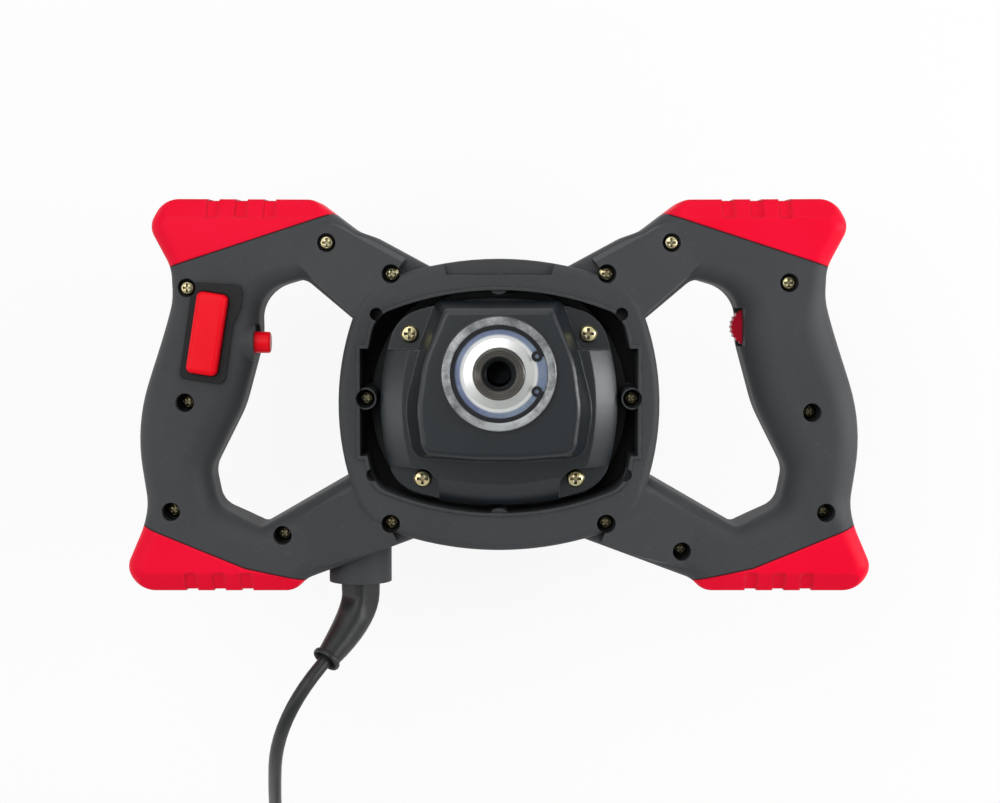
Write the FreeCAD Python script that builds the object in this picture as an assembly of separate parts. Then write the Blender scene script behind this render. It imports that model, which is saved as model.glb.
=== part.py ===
import FreeCAD, Part
import math
import os
from FreeCAD import Vector

os.makedirs("parts", exist_ok=True)

# Two-handled mixing drill, lying on its motor cap with the spindle pointing up.
# Millimetres. The motor axis is the Z axis, the cap's rest face is Z = 0.
# X runs across both grips, Y runs from the lower bumpers to the upper ones.

# Clearances
fit_gap = 0.3
slide_gap = 0.35
running_gap = 0.04
press_gap = 0.02

# Stack along the motor axis
cap_height = 40.0
can_length = 118.0
collar_drop = 11.0
collar_thickness = 6.0
flange_thickness = 7.0
plate_thickness = 10.0
housing_skirt = 9.0
housing_slope = 8.5
nose_rise = 26.5
boss_rise = 3.5
spindle_reach = 4.0

# Motor
can_radius = 50.0
can_wall = 3.0
cap_foot_radius = 39.0
cap_shoulder = 9.0
cap_wall = 3.0
cap_vents = 18
cap_vent_width = 5.0
collar_radius = 59.5
end_wall = 4.0
shaft_radius = 6.0
rear_journal_radius = 4.0
field_bore = 26.8
field_slot_depth = 10.0
air_gap = 0.7
field_start = 40.0
winding_overhang = 9.0
commutator_radius = 17.0
commutator_length = 15.0
fan_radius = 42.0
fan_height = 13.0
fan_blades = 11
fan_lift = 11.0
fan_headroom = 8.0
brush_width = 6.4
brush_depth = 10.0
brush_height = 21.0
brush_holder_wall = 1.2
brush_cap_radius = 8.0

# Gear train
spindle_offset = 17.0
pinion_teeth = 10
wheel_teeth = 42
first_module = 1.0
first_shift = 0.4
second_pinion_teeth = 11
spindle_teeth = 37
second_module = 1.5
second_shift = 0.35
backlash = 0.25
wheel_width = 9.0
spindle_gear_width = 13.0
counter_radius = 4.0
counter_bearing_radius = 11.0
counter_bearing_width = 7.0
front_bearing_radius = 14.0
front_bearing_width = 8.0
rear_bearing_radius = 11.0
rear_bearing_width = 7.0

# Spindle and its bearing
spindle_radius = 12.5
spindle_gear_seat = 10.0
spindle_tail = 6.0
spindle_bush_radius = 8.0
spindle_bush_length = 10.0
bearing_radius = 23.5
bearing_width = 12.0
boss_radius = 27.5
thread_radius = 6.0
thread_depth = 26.0
mouth_radius = 8.2
mouth_depth = 3.0
clip_thickness = 1.75
clip_groove = 1.2
clip_width = 3.2
clip_lug_radius = 2.6
clip_lug_inset = 1.4
clip_lug_angle = 25.0
washer_thickness = 1.0
washer_dish = 0.9

# Gear housing outline
base_half_width = 59.0
base_top = 53.0
base_bottom = 50.0
base_side_radius = 110.0
base_end_radius = 140.0
base_corner_radius = 20.0
housing_screws = [(44.3, 35.3), (38.1, -36.8), (-38.1, -36.8), (-44.3, 35.3)]
housing_head_radius = 4.5
housing_shank_radius = 2.5
pad_floor = 9.0
nose_top_corners = [
    (26.0, 48.0, 4.0), (36.8, 22.0, 45.0), (39.4, 0.0, 40.0), (36.8, -22.2, 7.0),
    (10.0, -24.4, 40.0)]
nose_round = 3.0
nose_foot_corners = [
    (31.5, 52.0, 5.0), (41.8, 24.0, 45.0), (49.3, -2.0, 40.0), (44.5, -27.0, 9.0),
    (12.0, -29.0, 40.0)]

# Handle frame
shell_depth = 24.0
shell_wall = 3.5
cavity_step = 12.0
arm_round = 9.0
grip_round = 15.0
ring_rise = 9.0
ring_round = 4.0
ring_half_width = 80.0
ring_top = 72.5
ring_bottom = 73.0
ring_side_radius = 132.0
ring_end_radius = 160.0
ring_corner_radius = 27.0
ring_wall = 4.0
opening_half_width = 67.6
opening_top = 57.0
opening_bottom = 54.0
opening_side_radius = 150.0
opening_end_radius = 150.0
opening_corner_radius = 14.0
nub_radius = 5.5
nub_reach = 2.2
pocket_half_width = 69.0
pocket_top = 28.0
pocket_bottom = 25.5
ledge_drop = 2.2
notches = [(60.8, 45.0), (63.0, -35.0)]
notch_radius = 3.2
notch_depth = 14.0
lip_width = 1.6
lip_height = 0.8
rear_ring_rise = 5.0
web_roots = [((58.0, 56.0), 35.0), ((57.0, -54.0), -22.0)]
web_length = 42.0
web_root_width = 44.0
web_top_width = 36.0
web_end_width = 20.0

# Right-hand handle outline and hand hole: x, y, corner radius. The left is its mirror image.
handle_outline = [
    (30.0, 50.0, 0.0), (30.0, 66.0, 0.0), (62.0, 83.3, 20.0), (72.0, 86.8, 14.0),
    (92.5, 102.3, 11.0), (168.2, 102.6, 13.0), (175.9, 88.8, 10.0), (164.7, 67.6, 22.0),
    (164.4, 53.0, 36.0), (184.6, -12.0, 95.0), (177.7, -57.5, 38.0), (189.0, -83.6, 10.0),
    (182.0, -95.4, 14.0), (103.5, -95.4, 11.0), (97.0, -89.0, 14.0), (36.0, -66.3, 0.0),
    (30.0, -50.0, 0.0)]
hand_hole = [
    (66.0, 43.0, 0.0), (72.5, 41.5, 0.0), (98.0, 63.0, 9.0), (121.5, 56.0, 18.0),
    (121.0, 32.0, 40.0), (130.5, -3.0, 60.0), (146.3, -34.3, 14.0), (142.7, -52.3, 12.0),
    (120.5, -63.3, 4.0), (74.0, -36.5, 0.0), (66.0, -36.5, 0.0)]

# Where each bumper meets the handle, from the ring side outwards
upper_seam = [(85.0, 94.5), (124.75, 81.5), (164.5, 68.5)]
lower_seam = [(98.3, -89.4), (128.0, -83.0), (177.7, -62.6)]
upper_sole = 102.6
lower_sole = -95.4
sole_slope_width = 9.5
sole_slope_drop = 7.0
rib_depth = 1.0
rib_width = 6.0
upper_ribs = [114.7, 128.9, 143.1]
lower_ribs = [127.5, 141.5, 155.5]
tongue_length = 34.0
tongue_thickness = 10.0
tongue_head = 16.0

# Screws that close the shells: x, y, depth of the seat below the local face
left_screws = [
    (-86.0, 80.5, 4.0), (-53.5, 65.0, 8.0), (-156.0, 58.0, 4.6), (-157.5, 0.5, 13.0),
    (-165.0, -54.5, 13.0), (-109.0, -66.5, 13.0), (-54.0, -59.5, 11.0)]
right_screws = [
    (86.0, 80.5, 4.0), (53.5, 65.0, 8.0), (145.0, 60.5, 5.0), (157.0, -4.5, 13.0),
    (164.5, -55.0, 13.0), (92.0, -74.5, 13.0), (53.5, -59.5, 11.0)]
rim_screws = [(-66.3, 3.0), (66.3, 3.0)]
rim_screw_depth = 12.0
screw_head_radius = 3.7
screw_head_height = 2.6
screw_recess_radius = 4.7
screw_shank_radius = 2.0
screw_reach = 13.0
screw_boss_radius = 6.4
rim_boss_radius = 5.4

# Trigger, lock and speed dial
trigger_x = -145.4
trigger_y = 35.2
trigger_tilt = -9.0
trigger_width = 15.4
trigger_length = 41.0
trigger_stand = 6.0
trigger_flange = 2.5
trigger_travel = 5.0
bezel_outline = [
    (-152.8, 60.8, 3.0), (-127.4, 59.6, 4.0), (-128.8, 47.5, 8.0), (-132.8, 39.5, 8.0),
    (-137.2, 9.6, 4.0), (-160.0, 13.2, 3.0)]
bezel_height = 1.6
trigger_skin = 4.0
switch_width = 18.0
switch_length = 44.0
switch_height = 27.0
plunger_radius = 3.0
lock_y = 30.5
lock_rise = 13.5
lock_radius = 5.4
lock_collar_radius = 9.4
lock_collar_end = -123.2
lock_tip = -115.2
lock_wall = 4.0
lock_flange_radius = 7.0
lock_travel = 3.0
dial_x = 128.0
dial_y = 38.0
dial_radius = 10.0
dial_thickness = 8.0
dial_knurls = 24
dial_notch = 19.5
dial_shaft_radius = 2.5
board_thickness = 2.0

# Cord
cord_radius = 3.5
cord_boss_x = -71.3
cord_boss_radius = 16.0
cord_boss_end = -92.6
boot_root_radius = 9.9
boot_tip_radius = 5.3
boot_ring_radius = 7.6
boot_flange_radius = 12.5
boot_flange_y = -83.0
boot_flange_end = -88.0
clamp_y = -66.5
clamp_half_length = 5.0
clamp_half_width = 10.5
clamp_height = 7.0
clamp_screw_pitch = 15.0
clamp_shank_radius = 1.5
coil_pitch = 7.6
coil_outer_radius = 51.0
coil_half_turns = 6
tie_thickness = 0.8
tie_width = 12.0
plug_half_width = 18.0
plug_length = 44.0
plug_pin_radius = 2.4
plug_pin_spacing = 19.0
plug_pin_length = 19.0

# Levels that follow from the values above
can_top = cap_height + can_length
parting = can_top - collar_drop
field_length = can_length - field_start - fan_lift - fan_height - fan_headroom
front_face = parting + shell_depth
ring_face = front_face + ring_rise
plate_top = can_top + plate_thickness
slope_start = plate_top + housing_skirt
slope_end = slope_start + housing_slope
nose_face = slope_end + nose_rise
boss_face = nose_face + boss_rise
spindle_end = boss_face + spindle_reach
clip_top = boss_face - 1.2
clip_base = clip_top - clip_thickness
washer_base = clip_base - washer_thickness
bearing_base = washer_base - bearing_width
wheel_base = plate_top + 2.0
wheel_top = wheel_base + wheel_width
second_base = wheel_top + 3.0
second_top = second_base + spindle_gear_width
pitch_one = first_module * (pinion_teeth + wheel_teeth) / 2
pitch_two = second_module * (second_pinion_teeth + spindle_teeth) / 2
counter_y = (spindle_offset ** 2 + pitch_one ** 2 - pitch_two ** 2) / (2 * spindle_offset)
counter_x = math.sqrt(pitch_one ** 2 - counter_y ** 2)
motor_axis = Vector(0, 0, 0)
spindle_axis = Vector(0, spindle_offset, 0)
counter_axis = Vector(counter_x, counter_y, 0)
up = Vector(0, 0, 1)
beyond = 400.0
pieces = {}


def rounded_polygon(corners, z):
    """Closed wire through corners, each cut by a tangent arc of its own radius."""
    count = len(corners)
    entry = []
    leave = []
    middle = []
    for i in range(count):
        x, y, radius = corners[i]
        corner = Vector(x, y, z)
        back = Vector(corners[i - 1][0], corners[i - 1][1], z) - corner
        ahead = Vector(corners[(i + 1) % count][0], corners[(i + 1) % count][1], z) - corner
        back.normalize()
        ahead.normalize()
        if radius == 0:
            entry.append(corner)
            leave.append(corner)
            middle.append(None)
            continue
        half = math.acos(back.dot(ahead)) / 2
        tangent = radius / math.tan(half)
        bisector = back + ahead
        bisector.normalize()
        entry.append(corner + back * tangent)
        leave.append(corner + ahead * tangent)
        middle.append(corner + bisector * (radius / math.sin(half) - radius))
    edges = []
    for i in range(count):
        following = (i + 1) % count
        if middle[i] is not None:
            edges.append(Part.Arc(entry[i], middle[i], leave[i]).toShape())
        if leave[i].distanceToPoint(entry[following]) > 1e-6:
            edges.append(Part.LineSegment(leave[i], entry[following]).toShape())
    return Part.Wire(edges)


def inset(corners, distance):
    """The same clockwise outline moved inwards, or outwards when distance is negative."""
    count = len(corners)
    moved = []
    for i in range(count):
        x, y, radius = corners[i]
        into = Vector(x - corners[i - 1][0], y - corners[i - 1][1], 0)
        out = Vector(corners[(i + 1) % count][0] - x, corners[(i + 1) % count][1] - y, 0)
        into.normalize()
        out.normalize()
        into_normal = Vector(into.y, -into.x, 0)
        out_normal = Vector(out.y, -out.x, 0)
        turn = into.cross(out).z
        shift = (into_normal + out_normal) * (distance / (1 + into_normal.dot(out_normal)))
        new_radius = radius
        if radius > 0:
            new_radius = max(radius + (distance if turn > 0 else -distance), 0.8)
        moved.append((x + shift.x, y + shift.y, new_radius))
    return moved


def bulged_square(half_width, top, bottom, side_radius, end_radius, corner_radius, z):
    """Square-ish closed wire with four bowed sides and tangent corner arcs."""
    sides = [
        (Vector(0, top - end_radius, z), end_radius),
        (Vector(half_width - side_radius, 0, z), side_radius),
        (Vector(0, end_radius - bottom, z), end_radius),
        (Vector(side_radius - half_width, 0, z), side_radius)]
    quarter = [(1, 1), (1, -1), (-1, -1), (-1, 1)]
    corner_centres = []
    for i in range(4):
        first, first_radius = sides[i]
        second, second_radius = sides[(i + 1) % 4]
        reach_a = first_radius - corner_radius
        reach_b = second_radius - corner_radius
        span = second - first
        length = span.Length
        along = (reach_a ** 2 - reach_b ** 2 + length ** 2) / (2 * length)
        rise = math.sqrt(reach_a ** 2 - along ** 2)
        unit = span / length
        normal = Vector(-unit.y, unit.x, 0)
        candidates = [first + unit * along + normal * rise, first + unit * along - normal * rise]
        sx, sy = quarter[i]
        corner_centres.append(max(candidates, key=lambda p: p.x * sx + p.y * sy))
    edges = []
    for i in range(4):
        centre, radius = sides[i]
        before = corner_centres[i - 1]
        after = corner_centres[i]
        start = centre + (before - centre) * (radius / (before - centre).Length)
        stop = centre + (after - centre) * (radius / (after - centre).Length)
        bow = start + stop - centre * 2
        crown = centre + bow * (radius / bow.Length)
        edges.append(Part.Arc(start, crown, stop).toShape())
        following, following_radius = sides[(i + 1) % 4]
        begin = following + (after - following) * (following_radius / (after - following).Length)
        outward = (stop + begin) / 2 - after
        knee = after + outward * (corner_radius / outward.Length)
        edges.append(Part.Arc(stop, knee, begin).toShape())
    return Part.Wire(edges)


def prism(wire, height):
    return Part.Face(wire).extrude(Vector(0, 0, height))


def base_wire(z, margin):
    return bulged_square(base_half_width + margin, base_top + margin, base_bottom + margin,
                         base_side_radius, base_end_radius, base_corner_radius + margin, z)


def ring_wire(z, margin):
    return bulged_square(ring_half_width + margin, ring_top + margin, ring_bottom + margin,
                         ring_side_radius, ring_end_radius, ring_corner_radius, z)


def opening_wire(z, margin):
    return bulged_square(opening_half_width + margin, opening_top + margin, opening_bottom + margin,
                         opening_side_radius, opening_end_radius, opening_corner_radius, z)


def mirrored(corners):
    """Left-hand copy of right-hand corners followed by the right-hand ones, closed over both ends."""
    left = [(-x, y, r) for x, y, r in reversed(corners)]
    return corners + left


def rod(radius, start, end):
    axis = end - start
    return Part.makeCylinder(radius, axis.Length, start, axis)


def post(radius, at, z0, z1):
    return Part.makeCylinder(radius, z1 - z0, Vector(at.x, at.y, z0), up)


def tube(outer, inner, at, z0, z1):
    return post(outer, at, z0, z1).cut(post(inner, at, z0 - 1, z1 + 1))


def block(x0, x1, y0, y1, z0, z1):
    return Part.makeBox(x1 - x0, y1 - y0, z1 - z0, Vector(x0, y0, z0))


def turned(profile, at):
    """Solid of revolution about a Z axis from radius, height pairs."""
    points = [Vector(at.x + r, at.y, z) for r, z in profile]
    wire = Part.makePolygon(points + [points[0]])
    return Part.Face(wire).revolve(Vector(at.x, at.y, 0), up, 360)


def fused(first, others):
    return first.fuse(others).removeSplitter()


def left_of(shape):
    return shape.mirror(Vector(0, 0, 0), Vector(1, 0, 0))


def below(shape):
    return shape.mirror(Vector(0, 0, parting), up)


def round_rim(solid, z, radius_at):
    """Round the edges at height z, with a radius that may change along the way."""
    document = FreeCAD.newDocument()
    source = document.addObject("Part::Feature")
    source.Shape = solid
    rounding = document.addObject("Part::Fillet")
    rounding.Base = source
    chosen = []
    for number, edge in enumerate(solid.Edges, 1):
        if any(abs(v.Point.z - z) > 1e-6 for v in edge.Vertexes):
            continue
        first = edge.valueAt(edge.FirstParameter)
        last = edge.valueAt(edge.LastParameter)
        if max(radius_at(first), radius_at(last)) > 0:
            chosen.append((number, radius_at(first) or radius_at(last),
                           radius_at(last) or radius_at(first)))
    rounding.Edges = chosen
    document.recompute()
    result = rounding.Shape.copy()
    FreeCAD.closeDocument(document.Name)
    return result


def handle_radius(point):
    """Arms and bumpers are rounded less than the grips; the ring side is left square."""
    if point.x < 66.5:
        return 0
    share = (62 - abs(point.y + 2)) / 14
    if point.x < 112:
        share = 0
    return arm_round + (grip_round - arm_round) * max(0, min(1, share))


def handle_half():
    """Front half of the right-hand handle, bumpers included."""
    face = Part.Face([rounded_polygon(handle_outline, parting), rounded_polygon(hand_hole, parting)])
    face.validate()
    solid = face.extrude(Vector(0, 0, shell_depth))
    return round_rim(solid, front_face, handle_radius)


def beyond_seam(seam, setback):
    """Everything outside a seam line, moved towards the handle by setback."""
    start, bend, end = [Vector(x, y, 0) for x, y in seam]
    along = end - start
    along.normalize()
    outward = Vector(-along.y, along.x, 0)
    if outward.y * start.y < 0:
        outward = outward * -1
    near = start + (start - bend) * 0.9 - outward * setback
    knee = bend - outward * setback
    far = end + (end - bend) * 0.5 - outward * setback
    points = [near, knee, far, far + outward * 80, near + outward * 80]
    wire = Part.makePolygon(points + [points[0]])
    wire.translate(Vector(0, 0, parting - 60))
    return Part.Face(wire).extrude(Vector(0, 0, 120))


def seam_box(seam, depth0, depth1, length, thickness):
    """Box centred on a seam and the parting plane, from depth0 to depth1 into the handle."""
    start, middle, end = [Vector(x, y, 0) for x, y in seam]
    along = end - start
    angle = math.degrees(math.atan2(along.y, along.x))
    side = -1 if middle.y > 0 else 1
    low = min(depth0 * side, depth1 * side)
    box = Part.makeBox(length, abs(depth1 - depth0), thickness, Vector(-length / 2, low, -thickness / 2))
    box.rotate(Vector(0, 0, 0), up, angle)
    box.translate(Vector(middle.x, middle.y, parting))
    return box


def bumper(half, seam, sole, ribs):
    """Soft corner piece: sloped sole with three grip recesses, held by a headed tongue."""
    front = half.common(beyond_seam(seam, 0))
    sign = 1 if sole > 0 else -1
    crease = sole - sign * sole_slope_width
    reach = sole + sign * 10
    fall = sole_slope_drop / sole_slope_width
    slope = [(crease, front_face), (reach, front_face - fall * (sole_slope_width + 10)),
             (reach, front_face + 5), (crease, front_face + 5)]
    points = [Vector(60, y, z) for y, z in slope]
    wedge = Part.Face(Part.makePolygon(points + [points[0]])).extrude(Vector(160, 0, 0))
    front = front.cut(wedge)
    for x in ribs:
        strip = block(x - rib_width / 2, x + rib_width / 2, -200, 200, parting - 5, front_face + 20)
        lowered = wedge.copy()
        lowered.translate(Vector(0, 0, -rib_depth * 1.25))
        wall_cut = block(x - rib_width / 2, x + rib_width / 2, min(sole - sign * rib_depth, reach),
                         max(sole - sign * rib_depth, reach), parting - 5, front_face + 20)
        front = front.cut(lowered.common(strip)).cut(wall_cut)
    whole = fused(front, [below(front)])
    neck = seam_box(seam, -4, shell_wall + fit_gap, tongue_length, tongue_thickness)
    head = seam_box(seam, shell_wall + fit_gap, shell_wall + fit_gap + 4, tongue_length, tongue_head)
    return fused(whole, [neck, head])


def gusset(root, angle, length, root_width, end_width, top_width):
    """Sloping web from the raised ring down onto an arm."""
    forward = Vector(math.cos(math.radians(angle)), math.sin(math.radians(angle)), 0)
    across = Vector(-forward.y, forward.x, 0)
    origin = Vector(root[0], root[1], 0)
    low = front_face - 6
    a1 = origin + across * (root_width / 2) + up * low
    a2 = origin - across * (root_width / 2) + up * low
    b1 = origin + across * (top_width / 2) + up * ring_face
    b2 = origin - across * (top_width / 2) + up * ring_face
    tip = origin + forward * (length * (1 + 6 / ring_rise))
    c1 = tip + across * (end_width / 2) + up * low
    c2 = tip - across * (end_width / 2) + up * low
    rings = [[a1, a2, c2, c1], [a1, b1, b2, a2], [b1, c1, c2, b2], [a1, c1, b1], [a2, b2, c2]]
    faces = [Part.Face(Part.makePolygon(r + [r[0]])) for r in rings]
    return Part.Solid(Part.Shell(faces))


def handle_cavity():
    """Room inside the front half of the right-hand handle, in two steps that follow the rounding."""
    steps = [(shell_wall, parting - 1, parting + cavity_step),
             (shell_wall + 6, parting + cavity_step - 1, front_face - trigger_skin)]
    parts = []
    for wall, z0, z1 in steps:
        outside = prism(rounded_polygon(inset(handle_outline, wall), z0), z1 - z0)
        inside = prism(rounded_polygon(inset(hand_hole, -wall), z0), z1 - z0)
        room = outside.cut(inside)
        for seam in (upper_seam, lower_seam):
            setback = shell_wall + fit_gap + 4.3 if wall > shell_wall else shell_wall
            room = room.cut(beyond_seam(seam, setback))
        parts.append(room)
    room = parts[0].fuse(parts[1])
    return room.cut(prism(ring_wire(parting - 5, -ring_wall), 60))


def seat_level(x, y, depth, body):
    """Height of a screw's seat, so far below the moulding's outer face."""
    line = Part.LineSegment(Vector(x, y, parting + 1), Vector(x, y, parting + 80)).toShape()
    return line.common(body).BoundBox.ZMax - depth


def screw(x, y, seat, foot, head_radius, head_height, shank_radius):
    """Pan-head screw with a cross recess, head up."""
    at = Vector(x, y, 0)
    crown = [(0, seat + head_height), (head_radius * 0.45, seat + head_height * 0.96),
             (head_radius * 0.8, seat + head_height * 0.75), (head_radius, seat + head_height * 0.35),
             (head_radius, seat), (shank_radius, seat), (shank_radius, foot + 2), (0, foot)]
    body = turned(crown, at)
    arm = head_radius * 0.62
    slot = head_radius * 0.16
    floor = seat + head_height * 0.35
    for rx, ry in ((arm, slot), (slot, arm)):
        body = body.cut(block(x - rx, x + rx, y - ry, y + ry, floor, seat + head_height + 1))
    return body


def gear(teeth, module, shift, width, bore, at, z0, phase):
    """Spur gear with involute flanks; phase is the direction of one tooth's middle."""
    pressure = math.radians(20)
    pitch = module * teeth / 2
    base = pitch * math.cos(pressure)
    tip = pitch + module * (1 + shift)
    root = pitch - module * (1.25 - shift)
    half = (math.pi / 2 + 2 * shift * math.tan(pressure)) / teeth - backlash / (4 * pitch)
    involute = math.tan(pressure) - pressure
    start = max(base, root) * 1.0005

    def half_angle(radius):
        slope = math.acos(min(1, base / radius))
        return half + involute - (math.tan(slope) - slope)

    flank = [(root, half_angle(start))]
    for share in (0, 0.3, 0.65, 1):
        radius = start + (tip - start) * share
        flank.append((radius, half_angle(radius)))
    points = []
    for tooth in range(teeth):
        middle = phase + 2 * math.pi * tooth / teeth
        for radius, angle in flank:
            points.append((radius, middle - angle))
        for radius, angle in reversed(flank):
            points.append((radius, middle + angle))
    corners = [Vector(at.x + r * math.cos(a), at.y + r * math.sin(a), z0) for r, a in points]
    body = prism(Part.makePolygon(corners + [corners[0]]), width)
    return body.cut(post(bore, at, z0 - 1, z0 + width + 1))


def ball_bearing(outer, bore, width, at, z0):
    """Sealed bearing: two races and the shield between them as one unit."""
    groove = (outer - bore) * 0.28
    profile = [(bore, z0), (bore + groove, z0), (bore + groove, z0 + 0.6), (outer - groove, z0 + 0.6),
               (outer - groove, z0), (outer, z0), (outer, z0 + width), (outer - groove, z0 + width),
               (outer - groove, z0 + width - 0.6), (bore + groove, z0 + width - 0.6),
               (bore + groove, z0 + width), (bore, z0 + width)]
    return turned(profile, at)


def tilted_box(width, length, x, y, z0, z1):
    box = Part.makeBox(width, length, z1 - z0, Vector(-width / 2, -length / 2, z0))
    box.rotate(Vector(0, 0, 0), up, trigger_tilt)
    box.translate(Vector(x, y, 0))
    return box


def tilted_pad(width, length, corner, z0, z1):
    pad = tilted_box(width, length, trigger_x, trigger_y, z0, z1)
    upright = [e for e in pad.Edges if abs(e.Vertexes[0].Point.z - e.Vertexes[-1].Point.z) > 1e-6]
    return pad.makeFillet(corner, upright)


def build_handles():
    """Both shells, the four bumpers and the screws that close them."""
    half = handle_half()
    body = half
    for seam in (upper_seam, lower_seam):
        body = body.cut(beyond_seam(seam, 0))
    room = handle_cavity()
    rooms = room.fuse(left_of(room))
    bumpers = {
        "bumper_upper_right": bumper(half, upper_seam, upper_sole, upper_ribs),
        "bumper_lower_right": bumper(half, lower_seam, lower_sole, lower_ribs)}
    bumpers["bumper_upper_left"] = left_of(bumpers["bumper_upper_right"])
    bumpers["bumper_lower_left"] = left_of(bumpers["bumper_lower_right"])
    pieces.update(bumpers)

    slots = []
    for seam in (upper_seam, lower_seam):
        slot = seam_box(seam, -1, shell_wall + 1, tongue_length + 2 * fit_gap,
                        tongue_thickness + 2 * fit_gap)
        pocket = seam_box(seam, shell_wall, shell_wall + 4.6, tongue_length + 2 * fit_gap,
                          tongue_head + 2 * fit_gap)
        slots += [slot, pocket, left_of(slot), left_of(pocket)]

    ring = prism(ring_wire(parting, 0), ring_face - parting)
    ring = round_rim(ring, ring_face, lambda point: ring_round)
    shelf = [Vector(-33, 90, 0), Vector(33, 90, 0), Vector(26, 64.5, 0), Vector(-26, 64.5, 0)]
    ledge = Part.Face(Part.makePolygon(shelf + [shelf[0]])).extrude(Vector(0, 0, 20))
    ledge.translate(Vector(0, 0, ring_face - ledge_drop))
    ring = ring.cut(ledge)
    arm_room = prism(rounded_polygon(inset(handle_outline, 2), parting), 60)
    arm_room = arm_room.cut(prism(rounded_polygon(inset(hand_hole, -2), parting - 1), 70))
    for seam in (upper_seam, lower_seam):
        arm_room = arm_room.cut(beyond_seam(seam, 4))
    webs = []
    for root, angle in web_roots:
        web = gusset(root, angle, web_length, web_root_width, web_end_width, web_top_width).common(arm_room)
        webs += [web, left_of(web)]
    lip = prism(opening_wire(ring_face - 1, lip_width), 1 + lip_height)
    lip = lip.fuse(block(-pocket_half_width - lip_width, pocket_half_width + lip_width,
                         -pocket_bottom - lip_width, pocket_top + lip_width,
                         ring_face - 1, ring_face + lip_height)).removeSplitter()
    nubs = [post(nub_radius, Vector(0, opening_top + nub_radius - nub_reach, 0), parting + 6,
                 ring_face - 1.5),
            post(nub_radius, Vector(0, nub_reach - nub_radius - opening_bottom, 0), parting + 6,
                 ring_face - 1.5)]
    bezel = prism(rounded_polygon(bezel_outline, front_face - 8), 8 + bezel_height)
    collar = rod(lock_collar_radius, Vector(-140, lock_y, parting + lock_rise),
                 Vector(lock_collar_end, lock_y, parting + lock_rise))
    gland = rod(cord_boss_radius, Vector(cord_boss_x, -58, parting),
                Vector(cord_boss_x, cord_boss_end, parting))
    front_gland = gland.common(block(-beyond, beyond, -beyond, beyond, parting, parting + beyond))
    rear_gland = gland.common(block(-beyond, beyond, -beyond, beyond, parting - beyond, parting))

    outside = body.fuse([left_of(body), ring] + webs).removeSplitter()
    lock_notch = rod(lock_collar_radius, Vector(lock_collar_end, lock_y, parting + lock_rise),
                     Vector(-100, lock_y, parting + lock_rise))
    outside = outside.cut(lock_notch).fuse([bezel, collar, lip, front_gland]).removeSplitter()
    ring_room = prism(ring_wire(parting - 1, -ring_wall), ring_face - 5 - parting + 1)
    ring_room = ring_room.cut(prism(opening_wire(parting - 2, ring_wall + 2), 80))
    side_pockets = block(-pocket_half_width, pocket_half_width, -pocket_bottom, pocket_top, parting - 1,
                         parting + 79)
    opening = prism(opening_wire(parting - 1, 0), 80).fuse(side_pockets).removeSplitter()
    seat_top = parting + collar_thickness / 2
    collar_seat = post(collar_radius + fit_gap, motor_axis, parting - 1, seat_top)

    front = outside.cut([rooms, ring_room, opening, collar_seat] + slots)
    front = front.fuse(nubs)
    levels = []
    bosses = []
    for x, y, depth in left_screws + right_screws:
        levels.append((x, y, seat_level(x, y, depth, outside)))
        bosses.append(post(screw_boss_radius, Vector(x, y, 0), parting, front_face + 20).common(outside))
    for x, y in rim_screws:
        levels.append((x, y, ring_face - rim_screw_depth))
        bosses.append(post(rim_boss_radius, Vector(x, y, 0), parting, ring_face - 1))
    front = front.fuse(bosses).removeSplitter()
    drills = []
    for x, y, seat in levels:
        at = Vector(x, y, 0)
        drills.append(post(screw_shank_radius + fit_gap, at, parting - 1, seat + 1))
        drills.append(post(screw_recess_radius, at, seat, ring_face + 10))
    trigger_slot = tilted_pad(trigger_width + 2 * slide_gap, trigger_length + 2 * slide_gap, 3 + slide_gap,
                              front_face - 15, front_face + 15)
    trigger_room = tilted_pad(trigger_width + 2 * trigger_flange + 2,
                              trigger_length + 2 * trigger_flange + 2, 3,
                              parting + 6, front_face - trigger_skin)
    lock_line = parting + lock_rise
    lock_bore = rod(lock_radius + slide_gap, Vector(-140, lock_y, lock_line),
                    Vector(-100, lock_y, lock_line))
    lock_pocket = rod(lock_flange_radius + slide_gap, Vector(-140, lock_y, lock_line),
                      Vector(lock_collar_end - lock_wall, lock_y, lock_line))
    dial_cut = block(100, dial_x - dial_radius + 5.8, dial_y - dial_notch / 2, dial_y + dial_notch / 2,
                     parting - 5, front_face + 5)
    dial_room = post(dial_radius + 1, Vector(dial_x, dial_y, 0), parting - 5,
                     parting + dial_thickness / 2 + 0.5)
    boot_bore = rod(boot_root_radius + fit_gap, Vector(cord_boss_x, -80, parting),
                    Vector(cord_boss_x, -110, parting))
    boot_groove = rod(boot_flange_radius + fit_gap, Vector(cord_boss_x, boot_flange_y + fit_gap, parting),
                      Vector(cord_boss_x, boot_flange_end - fit_gap, parting))
    cord_way = rod(boot_root_radius, Vector(cord_boss_x, -56, parting), Vector(cord_boss_x, -84, parting))
    passages = [boot_bore, boot_groove, cord_way]
    for x, y in notches:
        for sign in (1, -1):
            passages.append(post(notch_radius, Vector(sign * x, y, 0), ring_face - notch_depth,
                                 ring_face + 5))
    clamp_room = block(cord_boss_x - clamp_half_width - 1, cord_boss_x + clamp_half_width + 1,
                       clamp_y - clamp_half_length - 1, clamp_y + clamp_half_length + 1,
                       parting - 1, parting + clamp_height + 4)
    floor = parting - shell_depth + trigger_skin
    switch_room = tilted_box(switch_width + 2 * fit_gap, switch_length + 2 * fit_gap, trigger_x, trigger_y,
                             floor, floor + switch_height + fit_gap)
    passages += [clamp_room, switch_room]
    front = front.cut(drills + passages + [trigger_slot, trigger_room, lock_bore, lock_pocket, dial_cut,
                                           dial_room])
    pieces["front_shell"] = front

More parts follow.
